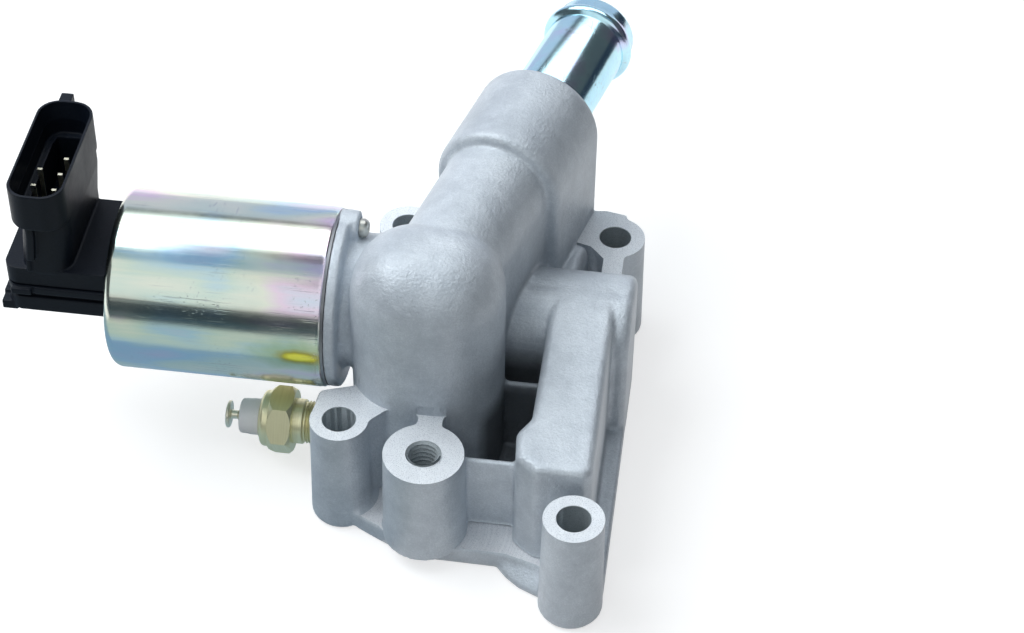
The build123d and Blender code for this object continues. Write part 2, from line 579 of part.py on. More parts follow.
# Connector head: upper body with the plug hood
body = slab(HEAD_X0, HEAD_X1 + 8.0, HEAD_Y0, HEAD_Y1, HEAD_SPLIT, HEAD_TOP, 4.0)
body -= block(HEAD_X1, HEAD_X1 + 20.0, -30.0, 30.0, 0.0, 100.0)
body += slab(HOOD_X0 + 2.0, HOOD_X1, HOOD_STEM_Y0, HOOD_Y1 - 2.0, HEAD_TOP - 1.0, HOOD_STEP_Z, 5.0)
body += slab(HOOD_X0, HOOD_X1, HOOD_Y0, HOOD_Y1, HOOD_STEP_Z, HOOD_TOP, 6.0)
body += block(-117.0, -113.6, HOOD_Y1 - 0.5, HOOD_Y1 + 3.8, HOOD_TOP - 7.0, HOOD_TOP - 0.4)
body -= block(HEAD_X0 + HEAD_WALL, HEAD_X1 - HEAD_WALL, HEAD_Y0 + HEAD_WALL, HEAD_Y1 - HEAD_WALL,
              HEAD_SPLIT - 1.0, HEAD_TOP - HEAD_WALL)
body -= slab(HOOD_X0 + 2.0 + HOOD_WALL, HOOD_X1 - HOOD_WALL, HOOD_STEM_Y0 + HOOD_WALL,
             HOOD_Y1 - 2.0 - HOOD_WALL, HOOD_FLOOR, HOOD_TOP + 1.0, 3.6)
body -= slab(HOOD_X0 + HOOD_WALL, HOOD_X1 - HOOD_WALL, HOOD_Y0 + HOOD_WALL, HOOD_Y1 - HOOD_WALL,
             HOOD_STEP_Z + HOOD_WALL, HOOD_TOP + 1.0, 4.6)
body += block(HOOD_X0 + 4.6, HOOD_X0 + 6.6, HOOD_Y0 + 1.0, HOOD_Y0 + 4.0, HOOD_FLOOR, HOOD_TOP - 1.0)
body += block(-119.6, -117.0, HOOD_Y1 - 5.4, HOOD_Y1 - 3.0, HOOD_FLOOR, HOOD_TOP - 5.0)
body -= block(HEAD_X1 - 4.0, HEAD_X1 + 1.0, -5.0, 5.0, AXIS_Z + 9.9, AXIS_Z + 13.8)
pins = []
for x, y in PINS:
    pins.append(block(x - PIN_W / 2, x + PIN_W / 2, y - 0.4, y + 0.4, HEAD_SPLIT, PIN_TIP))
for pin in pins:
    body -= pin
export_step(body, "parts/connector_head.step")
export_step(Compound(pins), "parts/connector_pins.step")

# Lower cover with the bore of the position sensor
above_split = block(2 * HEAD_X0, 0, 3 * HEAD_Y0, 3 * HEAD_Y1, HEAD_SPLIT, 2 * HEAD_TOP)
lid = slab(HEAD_X0, HEAD_X1 + 8.0, HEAD_Y0, HEAD_Y1, HEAD_BOTTOM, HEAD_SPLIT - 1.4, 4.0)
lid += slab(HEAD_X0 + 1.2, HEAD_X1 + 8.0, HEAD_Y0 + 1.2, HEAD_Y1 - 1.2, HEAD_BOTTOM, HEAD_SPLIT, 3.0)
lid += block(HEAD_X0 - 2.2, HEAD_X0 + 4.0, -13.0, -6.0, HEAD_BOTTOM, HEAD_BOTTOM + 2.6)
lid += block(HEAD_X0 - 2.2, HEAD_X0 + 4.0, 6.0, 13.0, HEAD_BOTTOM, HEAD_BOTTOM + 2.6)
lid += along_x(9.4, HEAD_X0 + 1.0, HEAD_X1) - above_split
lid -= block(HEAD_X1, HEAD_X1 + 20.0, -30.0, 30.0, 0.0, 100.0)
lid += ring(CAN_HOLE_R - 1.4, 7.4, HEAD_X1 - 1.0, HEAD_X1 + CAN_WALL - 0.1) - above_split
follower_bore = FOLLOWER_R + SLIDE_GAP
lid -= along_x(follower_bore, HEAD_X0 + 4.5, HEAD_X1 + 4.0)
lid -= block(HEAD_X0 + 4.5, HEAD_X1 - 2.4, -4.0, 4.0, AXIS_Z, HEAD_SPLIT + 1.0)
export_step(lid, "parts/head_cover.step")
seal = ring(CAN_HOLE_R - 0.05, CAN_HOLE_R - 1.4, HEAD_X1 + 0.1, HEAD_X1 + CAN_WALL - 0.1)
export_step(seal, "parts/head_seal.step")

# Position sensor: card, follower, wiper and follower spring
card = block(HEAD_X0 + 4.5, HEAD_X1 - 3.0, -12.0, 10.4, HEAD_SPLIT, HEAD_SPLIT + CARD_T)
for pin in pins:
    card -= pin
export_step(card, "parts/resistor_card.step")
follower_x1 = ROD_X0
follower = along_x(FOLLOWER_R, follower_x1 - FOLLOWER_L, follower_x1)
follower -= block(follower_x1 - 8.0, follower_x1 - 3.0, -10.0, 10.0, AXIS_Z + 4.2, AXIS_Z + 10.0)
export_step(follower, "parts/sensor_follower.step")
wiper = block(follower_x1 - 7.9, follower_x1 - 3.1, -2.4, 2.4, AXIS_Z + 4.2, AXIS_Z + 5.4)
for side in (-1.4, 1.4):
    wiper += block(follower_x1 - 7.9, follower_x1 - 6.6, side - 0.5, side + 0.5, AXIS_Z + 5.4, HEAD_SPLIT - 0.06)
export_step(wiper, "parts/wiper.step")
f_spring = coil_spring(FOLLOWER_SPRING_R, FOLLOWER_WIRE_R, HEAD_X0 + 4.5, follower_x1 - FOLLOWER_L, 5)
export_step(f_spring, "parts/follower_spring.step")
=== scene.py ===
"""Exhaust gas recirculation valve: cast housing, plated solenoid can, plug head, spigot and sensor."""

import logging
import math
from dataclasses import dataclass
from enum import Enum

import bmesh
import bpy
from mathutils import Matrix, Vector


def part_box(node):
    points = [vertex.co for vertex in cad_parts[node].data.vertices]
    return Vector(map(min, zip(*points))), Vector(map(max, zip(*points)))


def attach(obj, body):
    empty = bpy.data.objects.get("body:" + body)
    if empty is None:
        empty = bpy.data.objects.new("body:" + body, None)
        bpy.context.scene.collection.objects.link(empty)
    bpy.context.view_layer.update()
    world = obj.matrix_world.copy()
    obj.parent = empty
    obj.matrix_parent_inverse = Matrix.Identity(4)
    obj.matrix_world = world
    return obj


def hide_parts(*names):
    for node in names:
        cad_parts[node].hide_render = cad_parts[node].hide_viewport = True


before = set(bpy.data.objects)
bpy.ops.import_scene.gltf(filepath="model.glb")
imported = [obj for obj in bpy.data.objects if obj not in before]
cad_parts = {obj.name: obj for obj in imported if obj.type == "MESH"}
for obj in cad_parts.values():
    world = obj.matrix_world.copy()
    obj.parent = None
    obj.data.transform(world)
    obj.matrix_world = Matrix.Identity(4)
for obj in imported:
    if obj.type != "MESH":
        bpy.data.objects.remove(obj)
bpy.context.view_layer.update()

log = logging.getLogger("valve")

MM = 0.001
Colour = tuple[float, float, float]
Place = tuple[float, float, float]
Point = tuple[float, float]
Object = bpy.types.Object
Material = bpy.types.Material
Node = bpy.types.Node
Tree = bpy.types.NodeTree
Socket = bpy.types.NodeSocket
Shape = bmesh.types.BMesh
Face = bmesh.types.BMFace


class Body(Enum):
    """The bodies that a piece can ride on."""

    FIXED = "body"
    MOVING = "valve"


class Solver(Enum):
    """Ways to cut one mesh out of another."""

    QUICK = "MANIFOLD"
    CAREFUL = "EXACT"


class Sheet:
    """A shader node tree being filled, with short calls that add and join its nodes."""

    def __init__(self, tree: Tree) -> None:
        """Keeps the tree.

        Args:
            tree: the tree of a material, a world or a node group.
        """
        self.tree = tree

    def node(self, kind: str, **settings: object) -> Node:
        """Adds a node.

        Args:
            kind: the node's type name.
            settings: attributes to set on it.

        Returns:
            The new node.
        """
        made = self.tree.nodes.new(kind)
        for name, value in settings.items():
            setattr(made, name, value)
        return made

    def join(self, source: object, target: Socket) -> None:
        """Links a socket to another, or sets a plain value on it."""
        if isinstance(source, Socket):
            self.tree.links.new(source, target)
        else:
            target.default_value = source

    def noise(self, vector: object, scale: float, detail: float = 3.0, rough: float = 0.5) -> Socket:
        """A noise pattern.

        Args:
            vector: socket with the place to read.
            scale: patches per metre.
            detail: number of octaves.
            rough: weight of the finer octaves.

        Returns:
            The pattern's value socket.
        """
        made = self.node("ShaderNodeTexNoise")
        self.join(vector, made.inputs["Vector"])
        made.inputs["Scale"].default_value = scale
        made.inputs["Detail"].default_value = detail
        made.inputs["Roughness"].default_value = rough
        return made.outputs[0]

    def stretch(
        self, vector: object, scale: tuple[float, float, float], turn: float = 0.0, shift: float = 0.0,
    ) -> Socket:
        """Stretches a place, turns it about the upright axis and shifts what is laid there along x.

        Args:
            vector: socket with the place.
            scale: stretch along each axis.
            turn: in radians.
            shift: in metres.

        Returns:
            The new place's socket.
        """
        made = self.node("ShaderNodeMapping")
        made.inputs["Location"].default_value = (-shift * scale[0], 0.0, 0.0)
        self.join(vector, made.inputs["Vector"])
        made.inputs["Scale"].default_value = scale
        made.inputs["Rotation"].default_value = (0.0, 0.0, turn)
        return made.outputs[0]

    def sums(self, operation: str, first: object, second: object = 0.0) -> Socket:
        """One step of arithmetic on two numbers."""
        made = self.node("ShaderNodeMath", operation=operation)
        self.join(first, made.inputs[0])
        self.join(second, made.inputs[1])
        return made.outputs[0]

    def vector(self, operation: str, first: object, second: object = (0.0, 0.0, 0.0)) -> Node:
        """One step of arithmetic on two places or on one."""
        made = self.node("ShaderNodeVectorMath", operation=operation)
        self.join(first, made.inputs[0])
        self.join(second, made.inputs[1])
        return made

    def span(self, value: object, low: float, high: float, new_low: float, new_high: float) -> Socket:
        """Maps a value from one span to another and clamps it there."""
        made = self.node("ShaderNodeMapRange")
        self.join(value, made.inputs["Value"])
        made.inputs["From Min"].default_value = low
        made.inputs["From Max"].default_value = high
        made.inputs["To Min"].default_value = new_low
        made.inputs["To Max"].default_value = new_high
        return made.outputs[0]

    def ramp(self, value: object, stops: tuple[tuple[float, Colour], ...]) -> Socket:
        """Colours a value by a row of stops."""
        made = self.node("ShaderNodeValToRGB")
        self.join(value, made.inputs[0])
        row = made.color_ramp.elements
        while len(row) < len(stops):
            row.new(0.5)
        for element, (place, colour) in zip(row, stops):
            element.position = place
            element.color = (*colour, 1.0)
        return made.outputs[0]

    def mix(self, share: object, first: object, second: object, kind: str = "MIX") -> Socket:
        """Mixes two colours.

        Args:
            share: the second colour's share.
            first: socket or colour.
            second: socket or colour.
            kind: how the two blend.

        Returns:
            The mixed colour's socket.
        """
        made = self.node("ShaderNodeMix", data_type="RGBA", blend_type=kind)
        self.join(share, made.inputs[0])
        for source, target in ((first, made.inputs[6]), (second, made.inputs[7])):
            self.join((*source, 1.0) if isinstance(source, tuple) else source, target)
        return made.outputs[2]

    def place(self, group: Tree, **values: object) -> Node:
        """Places a node group and sets or joins its inputs."""
        made = self.node("ShaderNodeGroup", node_tree=group)
        self.fill(made, **values)
        return made

    def fill(self, node: Node, **values: object) -> None:
        """Sets or joins inputs of a node, named with _ for each space."""
        for name, value in values.items():
            self.join(value, node.inputs[name.replace("_", " ")])


def node_group(
    name: str, inputs: dict[str, tuple[str, object]], outputs: tuple[str, ...],
) -> tuple[Sheet, Node, Node]:
    """Starts a node group.

    Args:
        name: the group's name.
        inputs: socket name to its type and starting value.
        outputs: names of the value outputs.

    Returns:
        The group's sheet, its input node and its output node.
    """
    tree = bpy.data.node_groups.new(name, "ShaderNodeTree")
    for label, (kind, start) in inputs.items():
        socket = tree.interface.new_socket(label, in_out="INPUT", socket_type=kind)
        if start is not None:
            socket.default_value = start
    for label in outputs:
        tree.interface.new_socket(label, in_out="OUTPUT", socket_type="NodeSocketFloat")
    sheet = Sheet(tree)
    return sheet, sheet.node("NodeGroupInput"), sheet.node("NodeGroupOutput")


def make_grain() -> Tree:
    """Skin of a casting or moulding: pebbled height, slow patches and fine speckle.

    Returns:
        The group, with outputs Height, Patch, Speckle and Fleck.
    """
    sheet, start, end = node_group(
        "skin_grain",
        {"Vector": ("NodeSocketVector", None), "Scale": ("NodeSocketFloat", 1.0)},
        ("Height", "Patch", "Speckle", "Fleck"),
    )
    place = sheet.node("ShaderNodeVectorMath", operation="SCALE")
    sheet.join(start.outputs["Vector"], place.inputs[0])
    sheet.join(start.outputs["Scale"], place.inputs["Scale"])
    pebbles = sheet.noise(place.outputs[0], 1150.0, 3.0, 0.62)
    waves = sheet.noise(place.outputs[0], 160.0, 2.0, 0.5)
    patch = sheet.noise(place.outputs[0], 60.0, 6.0, 0.74)
    speckle = sheet.noise(place.outputs[0], 2600.0, 1.0, 0.5)
    fleck = sheet.noise(place.outputs[0], 1900.0, 1.0, 0.5)
    height = sheet.sums("ADD", pebbles, sheet.sums("MULTIPLY", waves, 0.6))
    for source, name in ((height, "Height"), (patch, "Patch"), (speckle, "Speckle"), (fleck, "Fleck")):
        sheet.join(source, end.inputs[name])
    return sheet.tree


def make_scuffs() -> Tree:
    """Scattered short scratches and handling marks.

    Returns:
        The group, with outputs Mask and Smudge.
    """
    sheet, start, end = node_group(
        "scuffs",
        {"Vector": ("NodeSocketVector", None), "Amount": ("NodeSocketFloat", 0.5)},
        ("Mask", "Smudge"),
    )
    along = sheet.stretch(start.outputs["Vector"], (60.0, 1400.0, 1400.0), 0.5)
    across = sheet.stretch(start.outputs["Vector"], (1300.0, 90.0, 1300.0), -0.2)
    lines = sheet.sums("MAXIMUM", sheet.noise(along, 1.0, 2.0), sheet.noise(across, 1.0, 2.0))
    where = sheet.noise(start.outputs["Vector"], 70.0, 2.0)
    mask = sheet.sums("MULTIPLY", sheet.span(lines, 0.62, 0.72, 0.0, 1.0), sheet.span(where, 0.45, 0.65, 0.0, 1.0))
    mask = sheet.sums("MULTIPLY", mask, start.outputs["Amount"])
    smudge = sheet.span(sheet.noise(start.outputs["Vector"], 38.0, 5.0, 0.65), 0.35, 0.7, 0.0, 1.0)
    sheet.join(mask, end.inputs["Mask"])
    sheet.join(smudge, end.inputs["Smudge"])
    return sheet.tree


GRAIN = make_grain()
SCUFFS = make_scuffs()


def new_material(name: str) -> tuple[Material, Sheet, Node, Socket]:
    """Starts a material.

    Args:
        name: the material's name.

    Returns:
        The material, its sheet, its shader and the socket with the place on the object.
    """
    material = bpy.data.materials.new(name)
    material.use_nodes = True
    sheet = Sheet(material.node_tree)
    shader = material.node_tree.nodes["Principled BSDF"]
    place = sheet.node("ShaderNodeTexCoord").outputs["Object"]
    return material, sheet, shader, place


def add_bump(sheet: Sheet, shader: Node, height: object, depth: float, round_mm: float = 0.0) -> None:
    """Gives a shader its small relief.

    Args:
        sheet: the material's sheet.
        shader: the material's shader.
        height: socket with the relief.
        depth: its depth in metres.
        round_mm: radius to which the light rounds the edges, or 0.
    """
    bump = sheet.node("ShaderNodeBump")
    bump.inputs["Strength"].default_value = 1.0
    bump.inputs["Distance"].default_value = depth
    sheet.join(height, bump.inputs["Height"])
    if round_mm > 0:
        edge = sheet.node("ShaderNodeBevel", samples=6)
        edge.inputs["Radius"].default_value = round_mm * MM
        sheet.join(edge.outputs[0], bump.inputs["Normal"])
    sheet.join(bump.outputs[0], shader.inputs["Normal"])


@dataclass(frozen=True)
class CastFinish:
    """Bare sand-blasted casting."""

    name: str
    light: Colour
    dark: Colour
    roughness: float
    metal: float
    depth: float
    scale: float = 1.0
    spark: Colour = (0.84, 0.88, 0.92)
    # painted shade: a dark tone laid into the colour over the deep pocket, where shade falls
    shade_pocket: tuple[Point, Point, Point] | None = None
    painted_shade_tone: Colour = (0.05, 0.058, 0.07)
    painted_shade_share: float = 0.82
    painted_shade_soft: Point = (1.5, 4.0)

    def material(self) -> Material:
        """Builds the finish with its patches, speckle, pebbled skin and the painted shade of its pocket."""
        material, sheet, shader, place = new_material(self.name)
        grain = sheet.place(GRAIN, Vector=place, Scale=self.scale)
        scuffs = sheet.place(SCUFFS, Vector=place, Amount=0.35)
        tone = sheet.span(grain.outputs["Patch"], 0.34, 0.68, 0.0, 1.0)
        colour = sheet.mix(tone, self.dark, self.light)
        colour = sheet.mix(sheet.span(grain.outputs["Speckle"], 0.38, 0.62, 0.0, 0.4), colour, self.dark)
        colour = sheet.mix(sheet.span(grain.outputs["Fleck"], 0.6, 0.72, 0.0, 0.2), colour, self.spark)
        colour = sheet.mix(sheet.sums("MULTIPLY", scuffs.outputs["Mask"], 0.5), colour, self.spark)
        # painted shade: the colour darkens over the deep pocket
        if self.shade_pocket is not None:
            colour = sheet.mix(self.painted_shade_mask(sheet, place), colour, self.painted_shade_tone)
        rough = sheet.span(grain.outputs["Patch"], 0.3, 0.7, self.roughness - 0.07, self.roughness + 0.07)
        sheet.fill(shader, Base_Color=colour, Roughness=rough, Metallic=self.metal)
        add_bump(sheet, shader, grain.outputs["Height"], self.depth)
        return material

    def painted_shade_mask(self, sheet: Sheet, place: object) -> Socket:
        """Mask of the deep pocket, where shade is painted into the casting's colour as a dark tone.

        Args:
            sheet: the material's sheet.
            place: socket with the place on the object.

        Returns:
            The mask's socket.
        """
        axes = sheet.node("ShaderNodeSeparateXYZ")
        sheet.join(place, axes.inputs[0])
        mask = self.painted_shade_share
        near, far = self.painted_shade_soft
        for value, (low, high) in zip(axes.outputs, self.shade_pocket):
            rise = sheet.span(value, (low - near) * MM, (low + near) * MM, 0.0, 1.0)
            fall = sheet.span(value, (high - far) * MM, (high + far) * MM, 1.0, 0.0)
            mask = sheet.sums("MULTIPLY", sheet.sums("MULTIPLY", rise, fall), mask)
        return mask


@dataclass(frozen=True)
class MilledFinish:
    """Face cut by a tool, with open pores and fine tool lines."""

    name: str
    colour: Colour
    pore: Colour
    roughness: float
    metal: float
    lines: float
    swept_round: Point | None = None
    contrast: float = 0.12
    across: tuple[float, float, float] = (1.0, 0.06, 1.0)

    def tool_lines(self, sheet: Sheet, place: object) -> Socket:
        """Lines left by the tool, straight or swept round a centre."""
        if self.swept_round is None:
            return sheet.noise(sheet.stretch(place, tuple(self.lines * part for part in self.across), 0.6), 1.0, 2.0)
        shift = sheet.vector("SUBTRACT", place, (self.swept_round[0] * MM, self.swept_round[1] * MM, 0.0))
        length = sheet.vector("LENGTH", sheet.stretch(shift.outputs[0], (1.0, 1.0, 0.0)))
        rings = sheet.node("ShaderNodeTexNoise", noise_dimensions="1D")
        sheet.join(length.outputs["Value"], rings.inputs["W"])
        rings.inputs["Scale"].default_value = self.lines
        return rings.outputs[0]

    def material(self) -> Material:
        """Builds the finish with tool lines and pores."""
        material, sheet, shader, place = new_material(self.name)
        grain = sheet.place(GRAIN, Vector=place, Scale=1.4)
        streak = self.tool_lines(sheet, place)
        pores = sheet.span(grain.outputs["Speckle"], 0.54, 0.68, 0.0, 0.7)
        colour = sheet.mix(sheet.span(streak, 0.3, 0.7, 0.0, self.contrast), self.colour, self.pore)
        colour = sheet.mix(sheet.span(grain.outputs["Patch"], 0.4, 0.7, 0.0, 0.2), colour, self.pore)
        colour = sheet.mix(pores, colour, self.pore)
        rough = sheet.span(streak, 0.3, 0.7, self.roughness, self.roughness + 0.14)
        sheet.fill(shader, Base_Color=colour, Roughness=rough, Metallic=self.metal)
        height = sheet.sums("SUBTRACT", streak, sheet.sums("MULTIPLY", pores, 1.5))
        add_bump(sheet, shader, height, 0.00004)
        return material


@dataclass(frozen=True)
class PlatedFinish:
    """Bright zinc plate with rainbow passivation, laid in soft clouds along the part."""

    name: str
    hues: tuple[tuple[float, Colour], ...]
    across: tuple[float, float, float]
    roughness: float
    run_at: tuple[float, float, float] | None = None
    shift: float = 0.0

    def material(self) -> Material:
        """Builds the plate with its clouds of colour, marks and the dried run of dip."""
        material, sheet, shader, place = new_material(self.name)
        scuffs = sheet.place(SCUFFS, Vector=place, Amount=0.8)
        cloud = sheet.noise(sheet.stretch(place, self.across, shift=self.shift), 1.0, 2.0, 0.45)
        streak = sheet.noise(sheet.stretch(place, (30.0, 900.0, 900.0)), 1.0, 2.0)
        tone = sheet.sums("ADD", cloud, sheet.span(streak, 0.3, 0.7, -0.02, 0.02))
        colour = sheet.ramp(sheet.span(tone, 0.22, 0.78, 0.0, 1.0), self.hues)
        if self.run_at is not None:
            colour = self.add_run(sheet, place, colour)
        colour = sheet.mix(sheet.sums("MULTIPLY", scuffs.outputs["Mask"], 0.6), colour, (0.45, 0.47, 0.5))
        rough = sheet.span(scuffs.outputs["Smudge"], 0.0, 1.0, self.roughness, self.roughness + 0.1)
        sheet.fill(shader, Base_Color=colour, Roughness=rough, Metallic=1.0)
        height = sheet.sums("ADD", streak, sheet.sums("MULTIPLY", scuffs.outputs["Mask"], -2.0))
        add_bump(sheet, shader, height, 0.000012)
        return material

    def add_run(self, sheet: Sheet, place: object, colour: object) -> Socket:
        """Adds the yellow run that dried near the can's end.

        Args:
            sheet: the material's sheet.
            place: socket with the place on the object.
            colour: socket with the colour so far.

        Returns:
            The socket with the run laid over that colour.
        """
        shift = sheet.vector("SUBTRACT", place, self.run_at)
        warp = sheet.sums("MULTIPLY", sheet.sums("SUBTRACT", sheet.noise(place, 220.0, 2.0), 0.5), 0.5)
        rings = []
        for size in ((0.015, 0.0058, 0.0058), (0.0072, 0.0028, 0.0028), (0.0046, 0.0016, 0.0016)):
            length = sheet.vector("LENGTH", sheet.vector("DIVIDE", shift.outputs[0], size).outputs[0])
            rings.append(sheet.span(sheet.sums("ADD", length.outputs["Value"], warp), 0.55, 1.1, 1.0, 0.0))
        colour = sheet.mix(sheet.sums("MULTIPLY", rings[0], 0.55), colour, (0.36, 0.50, 0.24))
        colour = sheet.mix(rings[1], colour, (0.42, 0.36, 0.05))
        return sheet.mix(rings[2], colour, (0.93, 0.84, 0.12))


@dataclass(frozen=True)
class TurnedFinish:
    """Turned or drawn metal, such as brass, steel and the copper winding."""

    name: str
    colour: Colour
    shade: Colour
    roughness: float
    lines: tuple[float, float, float]
    depth: float = 0.00001

    def material(self) -> Material:
        """Builds the finish with tool lines, tarnish and handling marks."""
        material, sheet, shader, place = new_material(self.name)
        scuffs = sheet.place(SCUFFS, Vector=place, Amount=0.6)
        lines = sheet.noise(sheet.stretch(place, self.lines), 1.0, 2.0)
        colour = sheet.mix(sheet.span(scuffs.outputs["Smudge"], 0.0, 1.0, 0.05, 0.55), self.colour, self.shade)
        colour = sheet.mix(sheet.span(lines, 0.3, 0.7, 0.0, 0.25), colour, self.shade)
        rough = sheet.span(lines, 0.3, 0.7, self.roughness, self.roughness + 0.12)
        sheet.fill(shader, Base_Color=colour, Roughness=rough, Metallic=1.0)
        add_bump(sheet, shader, lines, self.depth, 0.15)
        return material


@dataclass(frozen=True)
class MouldedFinish:
    """Moulded plastic or rubber with a fine spark-eroded skin."""

    name: str
    colour: Colour
    worn: Colour
    roughness: float
    depth: float
    scale: float = 1.6
    soft: float = 0.0
    shine: float = 0.17

    def material(self) -> Material:
        """Builds the finish with its grain, dull patches and rubbed marks."""
        material, sheet, shader, place = new_material(self.name)
        grain = sheet.place(GRAIN, Vector=place, Scale=self.scale)
        scuffs = sheet.place(SCUFFS, Vector=place, Amount=0.5)
        tone = sheet.span(grain.outputs["Patch"], 0.35, 0.7, 0.0, 0.45)
        colour = sheet.mix(tone, self.colour, self.worn)
        colour = sheet.mix(sheet.sums("MULTIPLY", scuffs.outputs["Mask"], 0.5), colour, self.worn)
        rough = sheet.span(grain.outputs["Patch"], 0.3, 0.7, self.roughness - 0.05, self.roughness + 0.08)
        sheet.fill(shader, Base_Color=colour, Roughness=rough, Specular_IOR_Level=self.shine)
        sheet.fill(shader, Subsurface_Weight=self.soft, Subsurface_Radius=(0.002, 0.002, 0.002))
        add_bump(sheet, shader, grain.outputs["Height"], self.depth)
        return material


def new_piece(name: str, shape: Shape, angle: float = 32.0) -> Object:
    """Turns a finished bmesh into an object at the origin.

    Args:
        name: the piece's name.
        shape: its bmesh, in metres and in place, which is freed.
        angle: edges sharper than this many degrees stay sharp.

    Returns:
        The new object.
    """
    mesh = bpy.data.meshes.new(name)
    shape.to_mesh(mesh)
    shape.free()
    piece = bpy.data.objects.new(name, mesh)
    bpy.context.scene.collection.objects.link(piece)
    crisp(piece, angle)
    return piece


def lathe(profile: tuple[Point, ...], steps: int = 96, closed: bool = False) -> Shape:
    """Turns a profile about the x axis.

    Args:
        profile: points as distance along x and radius, in millimetres.
        steps: number of facets round the axis.
        closed: joins the last point to the first.

    Returns:
        The turned bmesh, in metres.
    """
    shape = bmesh.new()
    points = [shape.verts.new((x * MM, 0.0, r * MM)) for x, r in profile]
    pairs = list(zip(points, points[1:])) + ([(points[-1], points[0])] if closed else [])
    edges = [shape.edges.new(pair) for pair in pairs]
    bmesh.ops.spin(
        shape, geom=points + edges, cent=(0, 0, 0), axis=(1, 0, 0), angle=2 * math.pi, steps=steps, use_merge=True,
    )
    bmesh.ops.remove_doubles(shape, verts=shape.verts, dist=1e-6)
    bmesh.ops.recalc_face_normals(shape, faces=shape.faces)
    return shape


def arc(x: float, r: float, radius: float, start: float, end: float, count: int = 6) -> tuple[Point, ...]:
    """Points of a profile's corner round (x, r), with angles in degrees from the axis outward."""
    turns = [math.radians(start + (end - start) * k / count) for k in range(count + 1)]
    return tuple((x + radius * math.cos(t), r + radius * math.sin(t)) for t in turns)


def extrude(shape: Shape, faces: list[Face], shift: Place) -> None:
    """Extrudes faces of a bmesh and moves them by a shift in millimetres."""
    moved = bmesh.ops.extrude_face_region(shape, geom=faces)
    verts = [item for item in moved["geom"] if isinstance(item, bmesh.types.BMVert)]
    bmesh.ops.translate(shape, vec=tuple(value * MM for value in shift), verts=verts)


def prism(outline: tuple[Point, ...], low: float, high: float) -> Shape:
    """An upright block with a given outline.

    Args:
        outline: corners seen from above, in millimetres.
        low: height of its underside.
        high: height of its top.

    Returns:
        The block's bmesh, in metres.
    """
    shape = bmesh.new()
    shape.faces.new([shape.verts.new((x * MM, y * MM, low * MM)) for x, y in outline])
    extrude(shape, list(shape.faces), (0, 0, high - low))
    bmesh.ops.recalc_face_normals(shape, faces=shape.faces)
    return shape


def round_edges(shape: Shape, edges: list[bmesh.types.BMEdge], radius: float, steps: int) -> None:
    """Rounds some edges of a bmesh by a radius in millimetres."""
    bmesh.ops.bevel(
        shape, geom=edges, offset=radius * MM, offset_type="OFFSET", affect="EDGES", segments=steps, profile=0.5,
        material=-1,
    )


def box(x: Point, y: Point, z: Point, corner: float = 0.0, soft: float = 0.0) -> Shape:
    """A block with rounded upright corners and softened other edges.

    Args:
        x: its ends along x, in millimetres.
        y: its ends along y.
        z: its ends along z.
        corner: radius of the upright corners, or 0.
        soft: radius of every edge, or 0.

    Returns:
        The block's bmesh, in metres.
    """
    shape = prism(((x[0], y[0]), (x[1], y[0]), (x[1], y[1]), (x[0], y[1])), *z)
    if corner > 0:
        sides = [edge for edge in shape.edges if abs(edge.verts[0].co.z - edge.verts[1].co.z) > 1e-6]
        round_edges(shape, sides, corner, 6)
    if soft > 0:
        round_edges(shape, list(shape.edges), soft, 3)
    return shape


def at(x: float, y: float, z: float) -> Matrix:
    """Move to a place in millimetres."""
    return Matrix.Translation((x * MM, y * MM, z * MM))


def put(shape: Shape, matrix: Matrix) -> Shape:
    """Moves a whole bmesh and returns it."""
    bmesh.ops.transform(shape, matrix=matrix, verts=shape.verts)
    return shape


def merged_copy(node: str) -> Shape:
    """A copy of a frame node's mesh with its loose triangles joined."""
    shape = bmesh.new()
    shape.from_mesh(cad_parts[node].data)
    bmesh.ops.remove_doubles(shape, verts=shape.verts, dist=2e-6)
    return shape


def bake_modifiers(piece: Object) -> None:
    """Replaces a piece's mesh by what its modifiers make of it."""
    graph = bpy.context.evaluated_depsgraph_get()
    mesh = bpy.data.meshes.new_from_object(piece.evaluated_get(graph))
    piece.modifiers.clear()
    piece.data = mesh


def crisp(piece: Object, angle: float) -> None:
    """Smooths a piece's shading and keeps edges sharper than an angle in degrees."""
    piece.data.shade_smooth()
    piece.data.set_sharp_from_angle(angle=math.radians(angle))


def absorb(whole: Shape, shape: Shape) -> None:
    """Adds a bmesh to another and frees it."""
    part = bpy.data.meshes.new("part")
    shape.to_mesh(part)
    shape.free()
    whole.from_mesh(part)
    bpy.data.meshes.remove(part)


def cut(piece: Object, cutter: Object, solver: Solver, kind: str = "DIFFERENCE") -> None:
    """Cuts one piece by another and removes the cutter.

    Args:
        piece: the piece that stays.
        cutter: the closed mesh that cuts it.
        solver: the way to cut.
        kind: what is kept, as the Boolean modifier names it.
    """
    step = piece.modifiers.new("cut", "BOOLEAN")
    step.operation = kind
    step.solver = solver.value
    step.object = cutter
    bake_modifiers(piece)
    bpy.data.objects.remove(cutter)


@dataclass(frozen=True)
class Softener:
    """Rounds the corners of a casting or moulding as a mould does."""

    cell: float
    passes: int
    keep: float
    crisp_angle: float = 38.0

    def run(self, piece: Object) -> None:
        """Reworks a piece's mesh in fine cells and smooths them."""
        cells = piece.modifiers.new("cells", "REMESH")
        cells.mode = "VOXEL"
        cells.voxel_size = self.cell * MM
        cells.use_smooth_shade = True
        rounds = piece.modifiers.new("rounds", "SMOOTH")
        rounds.iterations = self.passes
        fewer = piece.modifiers.new("fewer", "DECIMATE")
        fewer.ratio = self.keep
        bake_modifiers(piece)
        crisp(piece, self.crisp_angle)


